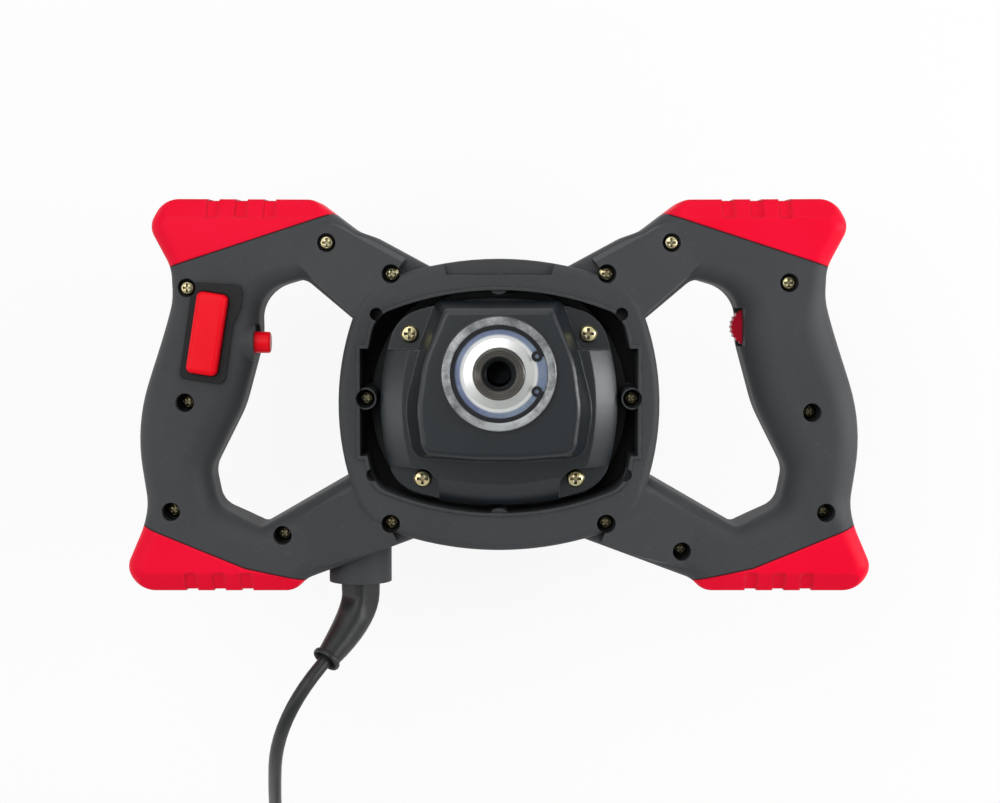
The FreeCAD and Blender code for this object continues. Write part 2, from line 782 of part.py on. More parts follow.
    rear_ring = prism(ring_wire(parting, 0), shell_depth + rear_ring_rise)
    rear_ring = round_rim(rear_ring, front_face + rear_ring_rise, lambda point: ring_round)
    rear = body.fuse([left_of(body), rear_ring]).removeSplitter()
    rear_outside = rear
    rear_room = prism(ring_wire(parting - 1, -ring_wall), shell_depth + rear_ring_rise - 4)
    rear_room = rear_room.cut(post(collar_radius + 6, motor_axis, parting - 5, parting + 80))
    bore = post(can_radius + fit_gap, motor_axis, parting - 5, parting + 80)
    rear = rear.cut([rooms, rear_room, bore, collar_seat] + slots)
    pillars = []
    for x, y, seat in levels:
        pillars.append(post(screw_boss_radius, Vector(x, y, 0), parting,
                            front_face + 20).common(rear_outside))
    saddle = block(cord_boss_x - clamp_half_width - 0.5, cord_boss_x + clamp_half_width + 0.5,
                   clamp_y - clamp_half_length - 0.5, clamp_y + clamp_half_length + 0.5, parting,
                   front_face - 2)
    rear = rear.fuse(pillars + [saddle]).removeSplitter()
    rear = below(rear)
    rear = rear.fuse(rear_gland).removeSplitter()
    holes = [post(screw_shank_radius + press_gap, Vector(x, y, 0), parting - screw_reach - 1, parting + 1)
             for x, y, seat in levels]
    cord_groove = rod(cord_radius + press_gap, Vector(cord_boss_x, -50, parting),
                      Vector(cord_boss_x, -84, parting))
    clamp_holes = [post(clamp_shank_radius + press_gap,
                        Vector(cord_boss_x + side * clamp_screw_pitch / 2, clamp_y, 0),
                        parting - 10, parting + 1) for side in (-1, 1)]
    wide_way = rod(boot_root_radius, Vector(cord_boss_x, -73, parting), Vector(cord_boss_x, -84, parting))
    dial_cut_low = block(100, dial_x - dial_radius + 5.8, dial_y - dial_notch / 2, dial_y + dial_notch / 2,
                         parting - dial_thickness / 2 - 1, parting + 5)
    dial_room_low = post(dial_radius + 1, Vector(dial_x, dial_y, 0), parting - dial_thickness / 2 - 0.5,
                         parting + 5)
    rear = rear.cut(holes + clamp_holes + [boot_bore, boot_groove, wide_way, cord_groove, switch_room])
    rear = rear.cut([dial_cut_low, dial_room_low])
    pieces["rear_shell"] = rear

    set_of_screws = [screw(x, y, seat, parting - screw_reach, screw_head_radius, screw_head_height,
                           screw_shank_radius) for x, y, seat in levels]
    pieces["shell_screws"] = Part.makeCompound(set_of_screws)


def build_controls():
    """Trigger with its switch, lock button, speed dial with its board."""
    top = front_face + bezel_height + trigger_stand
    ceiling = front_face - trigger_skin
    lever = tilted_pad(trigger_width, trigger_length, 3, ceiling - fit_gap - 3, top)
    lever = lever.makeFillet(2.6, [e for e in lever.Edges if min(v.Point.z
                                                                 for v in e.Vertexes) > top - 1e-6])
    flange = tilted_pad(trigger_width + 2 * trigger_flange, trigger_length + 2 * trigger_flange, 2,
                        ceiling - fit_gap - 3, ceiling - fit_gap)
    at = Vector(trigger_x, trigger_y, 0)
    floor = parting - shell_depth + trigger_skin
    switch_top = floor + switch_height
    plunger = post(plunger_radius, at, switch_top - 6, ceiling - fit_gap - 2)
    pieces["trigger"] = fused(lever, [flange, plunger])
    case = tilted_box(switch_width, switch_length, trigger_x, trigger_y, floor, switch_top)
    pieces["trigger_switch"] = case.cut(post(plunger_radius + slide_gap, at,
                                             switch_top - 7 - trigger_travel,
                                             switch_top + 1))

    line = parting + lock_rise
    shoulder = lock_collar_end - lock_wall - fit_gap
    stem = rod(lock_radius, Vector(shoulder - 2.5, lock_y, line), Vector(lock_tip, lock_y, line))
    tip_edges = [e for e in stem.Edges if all(abs(v.Point.x - lock_tip) < 1e-6 for v in e.Vertexes)]
    stem = stem.makeFillet(1.2, tip_edges)
    brim = rod(lock_flange_radius, Vector(shoulder - 2.5, lock_y, line), Vector(shoulder, lock_y, line))
    pieces["lock_button"] = fused(stem, [brim])

    wheel_axis = Vector(dial_x, dial_y, 0)
    rim = []
    for i in range(dial_knurls * 2):
        radius = dial_radius if i % 2 == 0 else dial_radius - 0.8
        angle = math.pi * i / dial_knurls
        rim.append(Vector(dial_x + radius * math.cos(angle), dial_y + radius * math.sin(angle),
                          parting - dial_thickness / 2))
    wheel = prism(Part.makePolygon(rim + [rim[0]]), dial_thickness)
    shelf = parting - cavity_step
    board_top = shelf + board_thickness
    pot_top = parting - dial_thickness / 2 - 1
    stalk = post(dial_shaft_radius, wheel_axis, pot_top - 4, parting)
    pieces["speed_dial"] = fused(wheel, [stalk])
    board = block(dial_x + 4.5, dial_x + 30, dial_y - 17, dial_y + 8, shelf, board_top)
    pot = block(dial_x - 2.8, dial_x + 7, dial_y - 5, dial_y + 6, shelf, pot_top)
    capacitor = rod(4, Vector(dial_x + 15, dial_y - 14, board_top + 3.5),
                    Vector(dial_x + 15, dial_y + 2, board_top + 3.5))
    module = fused(board, [pot, capacitor])
    pieces["speed_board"] = module.cut(post(dial_shaft_radius + running_gap, wheel_axis, pot_top - 4.5,
                                            pot_top + 1))


def build_gear_housing():
    """Cast housing with skirt, sloped shoulders, nose, screw pads and bearing boss."""
    skirt = prism(base_wire(plate_top, 0), housing_skirt)
    shoulder = Part.makeLoft([base_wire(slope_start, 0), base_wire(slope_end, -11)], True, True)
    casting = fused(skirt, [shoulder])
    pad_level = plate_top + pad_floor
    pockets = []
    for sign in (1, -1):
        low = [(30 * sign, -70, 0), (30 * sign, -31, 10), (80 * sign, -31, 0), (80 * sign, -70, 0)]
        high = [(30 * sign, 70, 0), (30 * sign, 27.5, 6), (80 * sign, 27.5, 0), (80 * sign, 70, 0)]
        for corners in (low, high):
            pockets.append(prism(rounded_polygon(corners, pad_level), 40))
    casting = casting.cut(pockets)
    foot = rounded_polygon(mirrored(nose_foot_corners), pad_level - 2)
    top = rounded_polygon(mirrored(nose_top_corners), nose_face)
    nose = round_rim(Part.makeLoft([foot, top], True, True), nose_face, lambda point: nose_round)
    boss = post(boss_radius, spindle_axis, nose_face - 3, boss_face)
    casting = fused(casting, [nose, boss])
    rooms = [
        post(pitch_one * 0.5 + 13, counter_axis, plate_top - 1, second_base - 1),
        post(12, motor_axis, plate_top - 1, second_base - 1),
        post(pitch_two * 0.5 + 12, spindle_axis, plate_top - 1, bearing_base),
        post(12, counter_axis, plate_top - 1, second_top + 1)]
    seats = [
        post(bearing_radius + press_gap, spindle_axis, bearing_base - 1, boss_face + 1),
        post(bearing_radius + clip_groove, spindle_axis, clip_base, clip_top),
        post(counter_bearing_radius + press_gap, counter_axis, second_top,
             second_top + 1 + counter_bearing_width)]
    holes = [post(housing_shank_radius + fit_gap, Vector(x, y, 0), plate_top - 1, pad_level + 20)
             for x, y in housing_screws]
    pieces["gear_housing"] = casting.cut(rooms + seats + holes)

    plate = prism(base_wire(can_top, 0), plate_thickness)
    tower = post(spindle_bush_radius + 1.6, spindle_axis, plate_top - 1, plate_top + spindle_bush_length)
    plate = fused(plate, [tower])
    cuts = [
        post(front_bearing_radius + press_gap, motor_axis, can_top - 1, can_top + front_bearing_width),
        post(front_bearing_radius - 3, motor_axis, can_top - 1, plate_top + 1),
        post(spindle_bush_radius + press_gap, spindle_axis, plate_top, plate_top + 40),
        post(counter_bearing_radius + press_gap, counter_axis, plate_top - counter_bearing_width,
             plate_top + 1)]
    cuts += [post(housing_shank_radius + fit_gap, Vector(x, y, 0), can_top - 1, plate_top + 1)
             for x, y in housing_screws]
    pieces["gear_plate"] = plate.cut(cuts)
    pieces["gear_housing_screws"] = Part.makeCompound(
        [screw(x, y, pad_level, can_top - flange_thickness + 1, housing_head_radius, 3.4,
               housing_shank_radius)
         for x, y in housing_screws])


def build_gear_train():
    """Spindle, countershaft, their gears and bearings."""
    tail_end = plate_top + 0.6
    profile = [(0, tail_end), (spindle_tail, tail_end), (spindle_tail, second_base - 1.5),
               (spindle_gear_seat, second_base - 1.5), (spindle_gear_seat, second_top),
               (spindle_radius, second_top), (spindle_radius, spindle_end - 0.8),
               (spindle_radius - 0.8, spindle_end), (0, spindle_end)]
    spindle = turned(profile, spindle_axis)
    mouth = Part.makeCone(thread_radius, mouth_radius, mouth_depth,
                          Vector(0, spindle_offset, spindle_end - mouth_depth), up)
    mouth_top = post(mouth_radius, spindle_axis, spindle_end, spindle_end + 1)
    bore = post(thread_radius, spindle_axis, spindle_end - thread_depth, spindle_end)
    pieces["spindle"] = spindle.cut([bore, mouth, mouth_top])
    pieces["spindle_bush"] = tube(spindle_bush_radius, spindle_tail + running_gap, spindle_axis, plate_top,
                                  plate_top + spindle_bush_length)
    pieces["spindle_bearing"] = ball_bearing(bearing_radius, spindle_radius + press_gap, bearing_width,
                                             spindle_axis, bearing_base)
    to_spindle = math.atan2(spindle_offset - counter_y, -counter_x)
    to_counter = math.atan2(counter_y, counter_x)
    pieces["spindle_gear"] = gear(spindle_teeth, second_module, -second_shift, spindle_gear_width,
                                  spindle_gear_seat + press_gap, spindle_axis, second_base,
                                  to_spindle + math.pi + math.pi / spindle_teeth)
    pieces["counter_wheel"] = gear(wheel_teeth, first_module, -first_shift, wheel_width,
                                   counter_radius + 1 + press_gap, counter_axis, wheel_base,
                                   to_counter + math.pi + math.pi / wheel_teeth)
    pieces["counter_pinion"] = gear(second_pinion_teeth, second_module, second_shift, spindle_gear_width,
                                    counter_radius + 1 + press_gap, counter_axis, second_base, to_spindle)
    shaft = [(0, plate_top - counter_bearing_width), (counter_radius, plate_top - counter_bearing_width),
             (counter_radius, plate_top + 0.4), (counter_radius + 1, plate_top + 0.4),
             (counter_radius + 1, second_top + 0.6), (counter_radius, second_top + 0.6),
             (counter_radius, second_top + 1 + counter_bearing_width),
             (0, second_top + 1 + counter_bearing_width)]
    pieces["countershaft"] = turned(shaft, counter_axis)
    pieces["counter_lower_bearing"] = ball_bearing(counter_bearing_radius, counter_radius + press_gap,
                                                   counter_bearing_width, counter_axis,
                                                   plate_top - counter_bearing_width)
    pieces["counter_upper_bearing"] = ball_bearing(counter_bearing_radius, counter_radius + press_gap,
                                                   counter_bearing_width, counter_axis, second_top + 1)
    pieces["motor_pinion"] = gear(pinion_teeth, first_module, first_shift, wheel_width + 1, 3 + press_gap,
                                  motor_axis, wheel_base - 0.5, to_counter)

    clip_outer = bearing_radius + clip_groove - 0.1
    clip = tube(clip_outer, clip_outer - clip_width, spindle_axis, clip_base, clip_top)
    gap = [Vector(0, spindle_offset, clip_base - 1), Vector(40, spindle_offset + 16, clip_base - 1),
           Vector(40, spindle_offset - 16, clip_base - 1)]
    clip = clip.cut(prism(Part.makePolygon(gap + [gap[0]]), 10))
    lugs = []
    for sign in (1, -1):
        angle = sign * math.radians(clip_lug_angle)
        reach = clip_outer - clip_width - clip_lug_inset
        at = Vector(reach * math.cos(angle), spindle_offset + reach * math.sin(angle), 0)
        lugs.append(tube(clip_lug_radius, 1.0, at, clip_base, clip_top))
    clip = fused(clip, lugs)
    for sign in (1, -1):
        angle = sign * math.radians(clip_lug_angle)
        reach = clip_outer - clip_width - clip_lug_inset
        at = Vector(reach * math.cos(angle), spindle_offset + reach * math.sin(angle), 0)
        clip = clip.cut(post(1.0, at, clip_base - 1, clip_top + 1))
    pieces["bearing_clip"] = clip
    rim = bearing_radius - fit_gap
    well = spindle_radius + fit_gap
    bend = clip_outer - clip_width - clip_lug_inset - clip_lug_radius - fit_gap
    dish = [(rim, washer_base), (rim, clip_base), (bend, clip_base), (well, clip_base + washer_dish),
            (well, washer_base + washer_dish), (bend, washer_base)]
    pieces["dust_washer"] = turned(dish, spindle_axis)


def around(count, radius, offset):
    """Evenly spaced points on a circle about the motor axis, offset in degrees."""
    places = []
    for i in range(count):
        angle = math.radians(offset + 360 * i / count)
        places.append(Vector(radius * math.cos(angle), radius * math.sin(angle), 0))
    return places


def build_motor():
    """Motor can, vented cap, field, armature, brushes and fan."""
    inner = can_radius - can_wall
    core_base = cap_height + field_start
    core_top = core_base + field_length
    seat_base = cap_height + 2
    brush_level = cap_height + brush_height
    can = post(can_radius, motor_axis, cap_height, can_top)
    flange = prism(base_wire(can_top - flange_thickness, 0), flange_thickness)
    collar = post(collar_radius, motor_axis, parting - collar_thickness / 2, parting + collar_thickness / 2)
    ears = []
    ear_bores = []
    cap_recess = can_radius - 1
    for sign in (1, -1):
        ears.append(rod(brush_cap_radius + 2.5, Vector(sign * (inner - 3), 0, brush_level),
                        Vector(sign * (can_radius + 4), 0, brush_level)))
        ear_bores.append(rod(brush_cap_radius + press_gap, Vector(sign * cap_recess, 0, brush_level),
                             Vector(sign * (can_radius + 10), 0, brush_level)))
    can = fused(can, [flange, collar] + ears)
    can = can.cut(post(inner, motor_axis, cap_height + end_wall, can_top + 1))
    hub = post(rear_bearing_radius + 3, motor_axis, cap_height, seat_base + rear_bearing_width)
    screw_places = around(4, 33, 45)
    studs = [post(5, p, cap_height, cap_height + 11) for p in screw_places]
    can = fused(can, [hub] + studs)
    holder_y = brush_width / 2 + slide_gap + brush_holder_wall
    holder_z = brush_depth / 2 + slide_gap + brush_holder_wall
    holder_hole = block(-cap_recess - 1, cap_recess + 1, -holder_y - press_gap, holder_y + press_gap,
                        brush_level - holder_z - press_gap, brush_level + holder_z + press_gap)
    keep = post(commutator_radius + 8, motor_axis, brush_level - 20, brush_level + 20)
    cuts = [post(rear_bearing_radius + press_gap, motor_axis, seat_base, can_top),
            post(rear_bearing_radius - 3, motor_axis, cap_height - 1, can_top), holder_hole.cut(keep)]
    cuts += ear_bores
    cuts += [post(8, p, cap_height - 1, cap_height + end_wall + 1) for p in around(4, 32, 0)]
    cuts += [post(screw_shank_radius + press_gap, p, cap_height - 1, cap_height + 9) for p in screw_places]
    cuts += [post(housing_shank_radius + press_gap, Vector(x, y, 0), can_top - flange_thickness,
                  can_top + 1)
             for x, y in housing_screws]
    window_low = can_top - 6.5
    window_high = can_top - 1.5
    cuts += [block(-80, 80, -14, 14, window_low, window_high),
             block(-16, 16, -80, 80, window_low, window_high)]
    pieces["motor_can"] = can.cut(cuts)

    foot = cap_foot_radius
    shell = [(0, 0), (foot, 0), (foot + 5.5, 2.2), (can_radius - 1.6, cap_shoulder),
             (can_radius, cap_shoulder + 9),
             (can_radius, cap_height), (can_radius - cap_wall, cap_height),
             (can_radius - cap_wall, cap_shoulder + 9.5),
             (can_radius - 1.6 - cap_wall, cap_shoulder + 1), (foot + 4, cap_wall + 2),
             (foot - 1, cap_wall),
             (0, cap_wall)]
    cap = turned(shell, motor_axis)
    cap_seat = cap_height - 8
    tubes = [post(6.2, p, cap_wall - 1, cap_height) for p in screw_places]
    cap = fused(cap, tubes)
    slots = []
    for i in range(cap_vents):
        slot = block(can_radius - 12, can_radius + 5, -cap_vent_width / 2, cap_vent_width / 2, 12,
                     cap_height - 9)
        slot.rotate(Vector(0, 0, 0), up, 360 * (i + 0.5) / cap_vents)
        slots.append(slot)
    recesses = [post(screw_recess_radius, p, -1, cap_seat) for p in screw_places]
    clear = [post(screw_shank_radius + fit_gap, p, -1, cap_height + 1) for p in screw_places]
    pieces["motor_cap"] = cap.cut(slots + recesses + clear)
    cap_screws = []
    for p in screw_places:
        one = screw(p.x, p.y, 0, -16, screw_head_radius, screw_head_height, screw_shank_radius)
        one = one.mirror(Vector(0, 0, 0), up)
        one.translate(Vector(0, 0, cap_seat))
        cap_screws.append(one)
    pieces["motor_cap_screws"] = Part.makeCompound(cap_screws)

    core = tube(inner - press_gap, field_bore, motor_axis, core_base, core_top)
    pocket = block(-16, 16, -field_bore - field_slot_depth, field_bore + field_slot_depth, core_base - 1,
                   core_top + 1)
    pieces["field_core"] = core.cut(pocket)
    coils = []
    for sign in (1, -1):
        ends = tube(field_bore + field_slot_depth, field_bore + 1.5, motor_axis,
                    core_base - winding_overhang, core_base)
        ends = ends.fuse(tube(field_bore + field_slot_depth, field_bore + 1.5, motor_axis, core_top,
                              core_top + winding_overhang))
        coil_half = block(0.6, 60, -60, 60, 0, can_top)
        sides = [block(0.6, 15.9, y0, y0 + 7, core_base - 1, core_top + 1)
                 for y0 in (field_bore + 1.5, -field_bore - 8.5)]
        coil = ends.common(coil_half).fuse(sides).removeSplitter()
        coils.append(coil if sign > 0 else left_of(coil))
    pieces["field_windings"] = Part.makeCompound(coils)

    rotor_radius = field_bore - air_gap
    rotor = tube(rotor_radius, shaft_radius + press_gap, motor_axis, core_base, core_top)
    grooves = [post(1.3, p, core_base - 1, core_top + 1) for p in around(12, rotor_radius, 0)]
    pieces["armature_core"] = rotor.cut(grooves)
    pieces["armature_windings"] = Part.makeCompound([
        tube(rotor_radius - 4, shaft_radius + 1.5, motor_axis, core_base - winding_overhang, core_base),
        tube(rotor_radius - 4, shaft_radius + 1.5, motor_axis, core_top, core_top + winding_overhang)])
    commutator_top = core_base - winding_overhang
    pieces["commutator"] = tube(commutator_radius, shaft_radius + press_gap, motor_axis,
                                commutator_top - commutator_length, commutator_top)
    fan_base = core_top + fan_lift
    hub = tube(13, shaft_radius + press_gap, motor_axis, fan_base, fan_base + fan_height)
    disc = tube(fan_radius, 10, motor_axis, fan_base, fan_base + 2)
    blades = []
    for i in range(fan_blades):
        blade = block(12, fan_radius - 1, -0.9, 0.9, fan_base, fan_base + fan_height - 1)
        blade.rotate(Vector(0, 0, 0), up, 360 * i / fan_blades)
        blades.append(blade)
    pieces["fan"] = fused(hub, [disc] + blades)
    bearing_top = can_top + front_bearing_width
    shaft = [(0, seat_base), (rear_journal_radius, seat_base),
             (rear_journal_radius, seat_base + rear_bearing_width + 0.5),
             (shaft_radius, seat_base + rear_bearing_width + 0.5), (shaft_radius, bearing_top + 0.5),
             (3, bearing_top + 0.5),
             (3, wheel_top), (0, wheel_top)]
    pieces["armature_shaft"] = turned(shaft, motor_axis)
    pieces["armature_front_bearing"] = ball_bearing(front_bearing_radius, shaft_radius + press_gap,
                                                    front_bearing_width, motor_axis, can_top)
    pieces["armature_rear_bearing"] = ball_bearing(rear_bearing_radius, rear_journal_radius + press_gap,
                                                   rear_bearing_width, motor_axis, seat_base)

    holders = []
    brushes = []
    springs = []
    caps = []
    brush_back = commutator_radius + 17
    for sign in (1, -1):
        case = block(commutator_radius + 2, cap_recess, -holder_y, holder_y, brush_level - holder_z,
                     brush_level + holder_z)
        hollow = block(0, 80, -brush_width / 2 - slide_gap, brush_width / 2 + slide_gap,
                       brush_level - brush_depth / 2 - slide_gap, brush_level + brush_depth / 2 + slide_gap)
        holder = case.cut(hollow)
        brush = block(commutator_radius, brush_back, -brush_width / 2, brush_width / 2,
                      brush_level - brush_depth / 2, brush_level + brush_depth / 2)
        brush = brush.cut(post(commutator_radius + running_gap, motor_axis, brush_level - 20,
                               brush_level + 20))
        spring = rod(2.6, Vector(brush_back, 0, brush_level), Vector(cap_recess, 0, brush_level))
        spring = spring.cut(rod(1.8, Vector(brush_back - 1, 0, brush_level),
                                Vector(cap_recess + 1, 0, brush_level)))
        cap_disc = rod(brush_cap_radius, Vector(cap_recess, 0, brush_level),
                       Vector(can_radius + 3.4, 0, brush_level))
        cap_disc = cap_disc.cut(block(can_radius + 2.2, can_radius + 6, -0.8, 0.8, brush_level - 9,
                                      brush_level + 9))
        for shape, group in ((holder, holders), (brush, brushes), (spring, springs), (cap_disc, caps)):
            group.append(shape if sign > 0 else left_of(shape))
    pieces["brush_holders"] = Part.makeCompound(holders)
    pieces["carbon_brushes"] = Part.makeCompound(brushes)
    pieces["brush_springs"] = Part.makeCompound(springs)
    pieces["brush_caps"] = Part.makeCompound(caps)


def bent_path(points):
    """Straight runs joined by tangent arcs; also gives each arc's radius."""
    edges = []
    radii = []
    begin = points[0]
    for i in range(1, len(points) - 1):
        back = points[i - 1] - points[i]
        ahead = points[i + 1] - points[i]
        shorter = min(back.Length, ahead.Length)
        back.normalize()
        ahead.normalize()
        half_turn = (math.pi - math.acos(back.dot(ahead))) / 2
        tangent = 0.45 * shorter
        radius = tangent / math.tan(half_turn)
        bisector = back + ahead
        bisector.normalize()
        enter = points[i] + back * tangent
        leave = points[i] + ahead * tangent
        crown = points[i] + bisector * (radius / math.cos(half_turn) - radius)
        edges.append(Part.LineSegment(begin, enter).toShape())
        edges.append(Part.Arc(enter, crown, leave).toShape())
        radii.append(radius)
        begin = leave
    edges.append(Part.LineSegment(begin, points[-1]).toShape())
    return Part.Wire(edges), radii


def swept(path, radius):
    start = path.OrderedEdges[0]
    origin = start.valueAt(start.FirstParameter)
    heading = start.tangentAt(start.FirstParameter)
    ring = Part.Wire(Part.makeCircle(radius, origin, heading))
    return path.makePipeShell([ring], True, False)


def cord_points(floor):
    """Cord route from its clamp, through the boot, over and down to the floor."""
    return [
        Vector(cord_boss_x, -59.4, parting), Vector(cord_boss_x, -112, parting),
        Vector(cord_boss_x - 39.6, -156.9, parting + 40),
        Vector(cord_boss_x - 51.2, -226.5, parting - 49),
        Vector(cord_boss_x - 57.2, -272, floor), Vector(cord_boss_x - 34.2, -353, floor)]


def coil_path(start, heading):
    """Two layers of loops: in along the floor, up one layer at the smallest turn, out again."""
    side = Vector(-heading.y, heading.x, 0)
    radii = [coil_outer_radius - coil_pitch / 2 * i for i in range(coil_half_turns)]
    radii += [coil_outer_radius - coil_pitch / 2 * coil_half_turns]
    radii += list(reversed(radii[1:coil_half_turns]))
    radii[-1] += plug_half_width / 2
    here = start + heading * 2 * cord_radius
    edges = [Part.LineSegment(start, here).toShape()]
    sign = 1
    for i, radius in enumerate(radii):
        climb = coil_pitch if i == coil_half_turns else 0
        there = here + side * (2 * radius * sign) + up * climb
        crown = (here + there) / 2 + heading * (sign * (there - here).Length / 2)
        edges.append(Part.Arc(here, crown, there).toShape())
        here = there
        sign = -sign
    end = here + heading * (sign * 2 * cord_radius)
    edges.append(Part.LineSegment(here, end).toShape())
    centre = start + heading * 2 * cord_radius + side * coil_outer_radius
    return Part.Wire(edges), end, heading * sign, centre, side


def self_gap(path, diameter):
    """Least distance between stretches of the path that are not neighbours, less the cord's diameter."""
    points = path.discretize(Distance=4.0)
    least = 1e9
    for i in range(len(points)):
        for j in range(i + 14, len(points)):
            least = min(least, points[i].distanceToPoint(points[j]))
    return least - diameter


def build_cord():
    """Boot, clamp, free cord, its coil with tie, and the plug."""
    floor = cord_radius + tie_thickness + 0.1
    points = cord_points(floor)
    path, radii = bent_path(points)
    pieces["cord_lead"] = swept(path, cord_radius)
    print("cord radii", [round(r, 1) for r in radii], "length", round(path.Length, 1))
    print("cord volume / section x length",
          round(pieces["cord_lead"].Volume / (math.pi * cord_radius ** 2 * path.Length), 4))

    arc = path.OrderedEdges[1]
    rings = []
    steps = 6
    for i in range(steps + 1):
        share = i / steps
        at = arc.FirstParameter + (arc.LastParameter - arc.FirstParameter) * share
        radius = boot_root_radius + (boot_tip_radius - boot_root_radius) * min(1, share * 1.05) ** 1.6
        rings.append(Part.Wire(Part.makeCircle(radius, arc.valueAt(at), arc.tangentAt(at))))
    sleeve = Part.makeLoft(rings, True, False)
    begin = arc.valueAt(arc.FirstParameter)
    tip = arc.valueAt(arc.LastParameter)
    heading = arc.tangentAt(arc.LastParameter)
    root = rod(boot_root_radius, Vector(cord_boss_x, -82.9, parting), begin)
    anchor = rod(boot_flange_radius, Vector(cord_boss_x, boot_flange_y, parting),
                 Vector(cord_boss_x, boot_flange_end, parting))
    end_ring = rod(boot_ring_radius, tip - heading * 1.2, tip + heading * 2.2)
    boot = sleeve.fuse([root, anchor, end_ring]).removeSplitter()
    pieces["cord_boot"] = boot.cut(swept(path, cord_radius + running_gap))

    clamp = block(cord_boss_x - clamp_half_width, cord_boss_x + clamp_half_width,
                  clamp_y - clamp_half_length,
                  clamp_y + clamp_half_length, parting, parting + clamp_height)
    tunnel = rod(cord_radius + press_gap, Vector(cord_boss_x, -50, parting),
                 Vector(cord_boss_x, -80, parting))
    places = [cord_boss_x - clamp_screw_pitch / 2, cord_boss_x + clamp_screw_pitch / 2]
    clamp = clamp.cut([tunnel] + [post(clamp_shank_radius + fit_gap, Vector(x, clamp_y, 0), parting - 1,
                                       parting + clamp_height + 1) for x in places])
    pieces["cord_clamp"] = clamp
    pieces["cord_clamp_screws"] = Part.makeCompound(
        [screw(x, clamp_y, parting + clamp_height, parting - 9, 2.8, 2.0, clamp_shank_radius)
         for x in places])

    entry = points[-1]
    way = points[-1] - points[-2]
    way.normalize()
    loops, end, leaving, centre, side = coil_path(entry, way)
    pieces["cord_coil"] = swept(loops, cord_radius)
    print("coil length", round(loops.Length, 1), "least gap to itself",
          round(self_gap(loops, 2 * cord_radius), 2))
    print("coil volume / section x length",
          round(pieces["cord_coil"].Volume / (math.pi * cord_radius ** 2 * loops.Length), 4))

    inner = coil_outer_radius - coil_pitch / 2 * coil_half_turns - cord_radius - 0.9
    outer = coil_outer_radius + cord_radius + 0.8
    band = Part.makeBox(outer - inner + 2 * tie_thickness, tie_width,
                        coil_pitch + 2 * cord_radius + 0.2 + 2 * tie_thickness,
                        Vector(inner - tie_thickness, -tie_width / 2, 0))
    window = Part.makeBox(outer - inner, tie_width + 2, coil_pitch + 2 * cord_radius + 0.2,
                          Vector(inner, -tie_width / 2 - 1, tie_thickness))
    band = band.cut(window)
    band.rotate(Vector(0, 0, 0), up, math.degrees(math.atan2(side.y, side.x)))
    band.translate(Vector(centre.x, centre.y, 0))
    pieces["coil_tie"] = band

    level = end.z
    plug = Part.makeBox(plug_length, 2 * plug_half_width, 2 * level, Vector(14, -plug_half_width, -level))
    upright = [e for e in plug.Edges if abs(e.Vertexes[0].Point.z - e.Vertexes[-1].Point.z) > 1]
    plug = plug.makeFillet(9, upright)
    neck = Part.makeCone(cord_radius + 1.2, 7.5, 17, Vector(-2, 0, 0), Vector(1, 0, 0))
    plug = fused(plug, [neck])
    hollow = Part.makeCylinder(cord_radius + press_gap, 8, Vector(-8, 0, 0), Vector(1, 0, 0))
    pins = []
    sockets = []
    for sign in (1, -1):
        y = sign * plug_pin_spacing / 2
        pins.append(rod(plug_pin_radius, Vector(14 + plug_length - 8, y, 0),
                        Vector(14 + plug_length + plug_pin_length, y, 0)))
        sockets.append(rod(plug_pin_radius + press_gap, Vector(14 + plug_length - 8, y, 0),
                           Vector(80 + plug_length, y, 0)))
    plug = plug.cut([hollow] + sockets)
    angle = math.degrees(math.atan2(leaving.y, leaving.x))
    for name, shape in (("plug_body", plug), ("plug_pins", Part.makeCompound(pins))):
        shape.rotate(Vector(0, 0, 0), up, angle)
        shape.translate(end)
        pieces[name] = shape


build_handles()
build_controls()
build_gear_housing()
build_gear_train()
build_motor()
build_cord()
for name, shape in pieces.items():
    if not shape.isValid():
        print("not valid:", name)
    shape.exportStep("parts/" + name + ".step")
print(len(pieces), "pieces")
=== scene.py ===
"""Finishes, lead, plug and studio for the two-handed mixing drill.

Metres, +Z up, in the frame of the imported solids: the motor axis is Z and the cap's rest face is Z = 0.
"""

import math

import bmesh
import bpy
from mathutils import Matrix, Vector


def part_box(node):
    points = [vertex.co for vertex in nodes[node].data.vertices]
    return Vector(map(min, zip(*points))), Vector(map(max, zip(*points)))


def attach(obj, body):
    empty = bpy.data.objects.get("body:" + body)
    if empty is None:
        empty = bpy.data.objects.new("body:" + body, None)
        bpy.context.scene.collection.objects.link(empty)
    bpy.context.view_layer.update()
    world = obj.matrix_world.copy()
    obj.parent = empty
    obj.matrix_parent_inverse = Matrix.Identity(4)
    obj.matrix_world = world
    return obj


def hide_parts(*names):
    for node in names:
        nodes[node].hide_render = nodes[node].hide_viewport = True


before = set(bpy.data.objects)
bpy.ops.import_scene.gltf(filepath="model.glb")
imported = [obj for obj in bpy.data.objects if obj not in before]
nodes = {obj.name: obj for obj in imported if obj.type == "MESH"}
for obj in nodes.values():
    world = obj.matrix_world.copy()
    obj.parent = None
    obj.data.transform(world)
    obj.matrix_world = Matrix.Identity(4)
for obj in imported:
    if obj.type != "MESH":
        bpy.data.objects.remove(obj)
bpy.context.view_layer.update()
scene = bpy.context.scene
up = Vector((0, 0, 1))

# Camera
photo_width = 1000
focal_pixels = 2000
sensor = 36.0
camera_place = (0.0005, 0.062, 1.171)
camera_lean = math.radians(-3.48)

# Studio: the floor shows a soft shadow near the drill, and the air is dimmer overhead
floor_half = 5.0
floor_drop = 0.0004
floor_glow = 0.88
shadow_centre = Vector((0, -0.17, 0))
shadow_fade = (0.5, 1.0)
air_level = 0.24
roof_level = 0.40
roof_fade = (0.35, 0.80)

